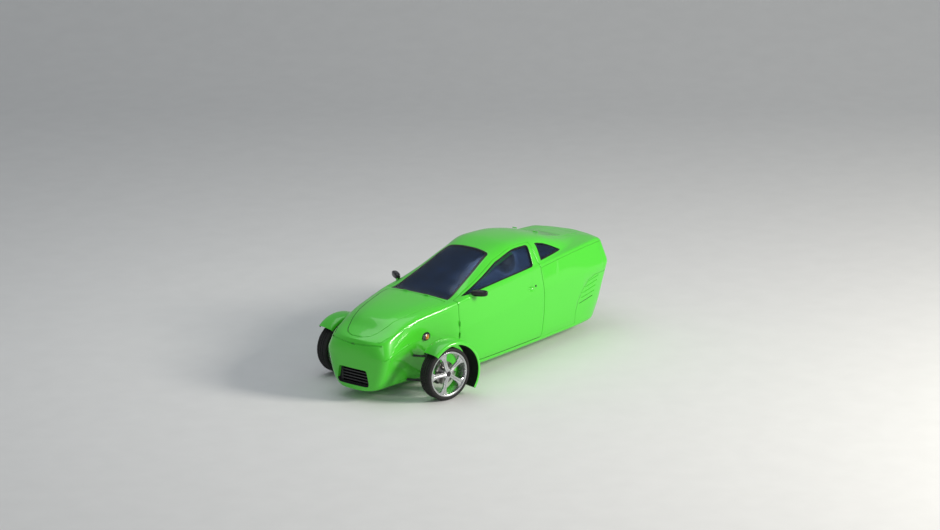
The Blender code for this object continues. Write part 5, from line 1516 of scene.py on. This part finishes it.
# Engine: a finned block with a cover, pulley and pipes
# Each level: name, how far it lies in along X and along Y, bottom, top, finish, rounding
low = Vector(ENGINE_LOW)
high = Vector(ENGINE_HIGH)
FINS = 11
fin_low = [0.31 + i * 0.016 for i in range(FINS)]
levels = [("engine_sump", 0.02, 0.03, low.z + 0.001, 0.3, "cast", 0.018)]
levels += [(f"engine_fin_{i}", 0.035, 0.01, z, z + 0.006, "cast", 0.002) for i, z in enumerate(fin_low)]
levels += [
    ("engine_core", 0.055, 0.04, 0.295, 0.5, "cast", 0.01),
    ("engine_cover", 0.05, 0.05, 0.492, 0.548, "black", 0.018),
]
for name, in_x, in_y, bottom, top, key, rounding in levels:
    made = block(name, (low.x + in_x, low.y + in_y, bottom), (high.x - in_x, high.y - in_y, top), key,
        rounding)
    settle(made,
        stands_for=("engine_block",) if name == "engine_sump" else ())
settle(cylinder("engine_cap", 0.026, (1.47, 0.08, 0.54), (1.47, 0.08, 0.5595), "gloss_black", 32),
    bevel=0.003)
settle(cylinder("engine_pulley", 0.07, (1.585, 0.03, 0.33), (1.612, 0.03, 0.33), "steel", 48),
    bevel=0.003)
for side, word in SIDES:
    pipe = [(1.3, 0.15 * side, 0.42), (1.3, 0.195 * side, 0.4), (1.24, 0.196 * side, 0.28),
        (1.195, 0.18 * side, 0.2)]
    settle(tube("engine_pipe_" + word, pipe, 0.019, "cast", 6), degrees=60)

# Carried-over CAD nodes that keep their shape
arms = [f"{level}_arm_{word}" for level in ("lower", "upper") for _, word in SIDES]
kept = {node: "steel" for node in ("swing_arm", *arms)}
kept.update(grille="black", firewall="liner", rear_bulkhead="liner", knuckle_left="cast",
    knuckle_right="cast")
for node, key in kept.items():
    made = frame["nodes"][node]
    for place in made.material_slots:
        place.link = "OBJECT"
        place.material = FINISHES[key]
coil_over("damper_rear", (REAR_AXLE_X + 0.23, 0.0, PIVOT_Z + 0.02), (PIVOT_X - 0.03, 0.0, 0.62), 0.026)

for old in list(CUTTERS.objects):
    bpy.data.objects.remove(old)

# Floor, light and camera


def stage_sheet():
    """A pale floor that curves up into a backdrop far behind the car."""
    def fill(work):
        rows = []
        away = Vector((-0.7863, -0.6178, 0.0))
        along = Vector((-0.6178, 0.7863, 0.0))
        for step in range(41):
            if step <= 10:
                place = away * (-30 + 4.2 * step)
                height = 0.0
            else:
                turn = math.pi / 2 * (step - 10) / 30
                place = away * (12 + 14 * math.sin(turn))
                height = 14 * (1 - math.cos(turn))
            rows.append([
                work.verts.new(place + along * reach + Vector((0, 0, height))) for reach in (-40, 40)])
        bridge(work, rows, closed=False)

    made = mesh_from("stage_floor", fill, "floor")
    made.data.shade_smooth()
    if made.data.polygons[0].normal.z < 0:
        made.data.flip_normals()
    return made


stage_sheet()


def area_light(name, place, target, size, power, color=(1.0, 1.0, 1.0)):
    data = bpy.data.lights.new(name, "AREA")
    data.shape = "RECTANGLE"
    data.size, data.size_y = size
    data.energy = power
    data.color = color
    made = bpy.data.objects.new(name, data)
    made.location = place
    made.rotation_euler = (Vector(target) - Vector(place)).to_track_quat("-Z", "Y").to_euler()
    bpy.context.scene.collection.objects.link(made)


# A strong light from the left and behind, and weak ones from above and from the camera's side
area_light("key_left", (-5.2, 15.0, 8.4), (0, 0, 0.6), (4.5, 4.5), 3050, (1.0, 0.96, 0.88))
area_light("top", (1.0, -2.0, 9.0), (0, 0, 0), (8.0, 6.0), 220, (0.94, 0.97, 1.0))
area_light("camera_side", (13.0, 9.0, 8.0), (0, 0, 0.6), (6.0, 6.0), 160)

world = bpy.data.worlds.new("soft_sky")
bpy.context.scene.world = world
world.use_nodes = True
world.node_tree.nodes["Background"].inputs["Color"].default_value = (0.86, 0.92, 1.0, 1.0)
world.node_tree.nodes["Background"].inputs["Strength"].default_value = 0.34

camera_data = bpy.data.cameras.new("photo_camera")
camera_data.lens = 134.04
camera_data.sensor_width = 36.0
camera_data.clip_end = 200.0
camera = bpy.data.objects.new("photo_camera", camera_data)
camera_right = Vector((-0.6178, 0.7864, 0.0))
camera_back = Vector((0.7559, 0.5938, 0.2756))
camera_up = camera_back.cross(camera_right)
turn = Matrix((camera_right.normalized(), camera_up.normalized(), camera_back.normalized())).transposed()
camera.matrix_world = Matrix.Translation((29.9271, 23.515554, 11.994)) @ turn.to_4x4()
bpy.context.scene.collection.objects.link(camera)
bpy.context.scene.camera = camera
bpy.context.scene.view_settings.view_transform = "Standard"
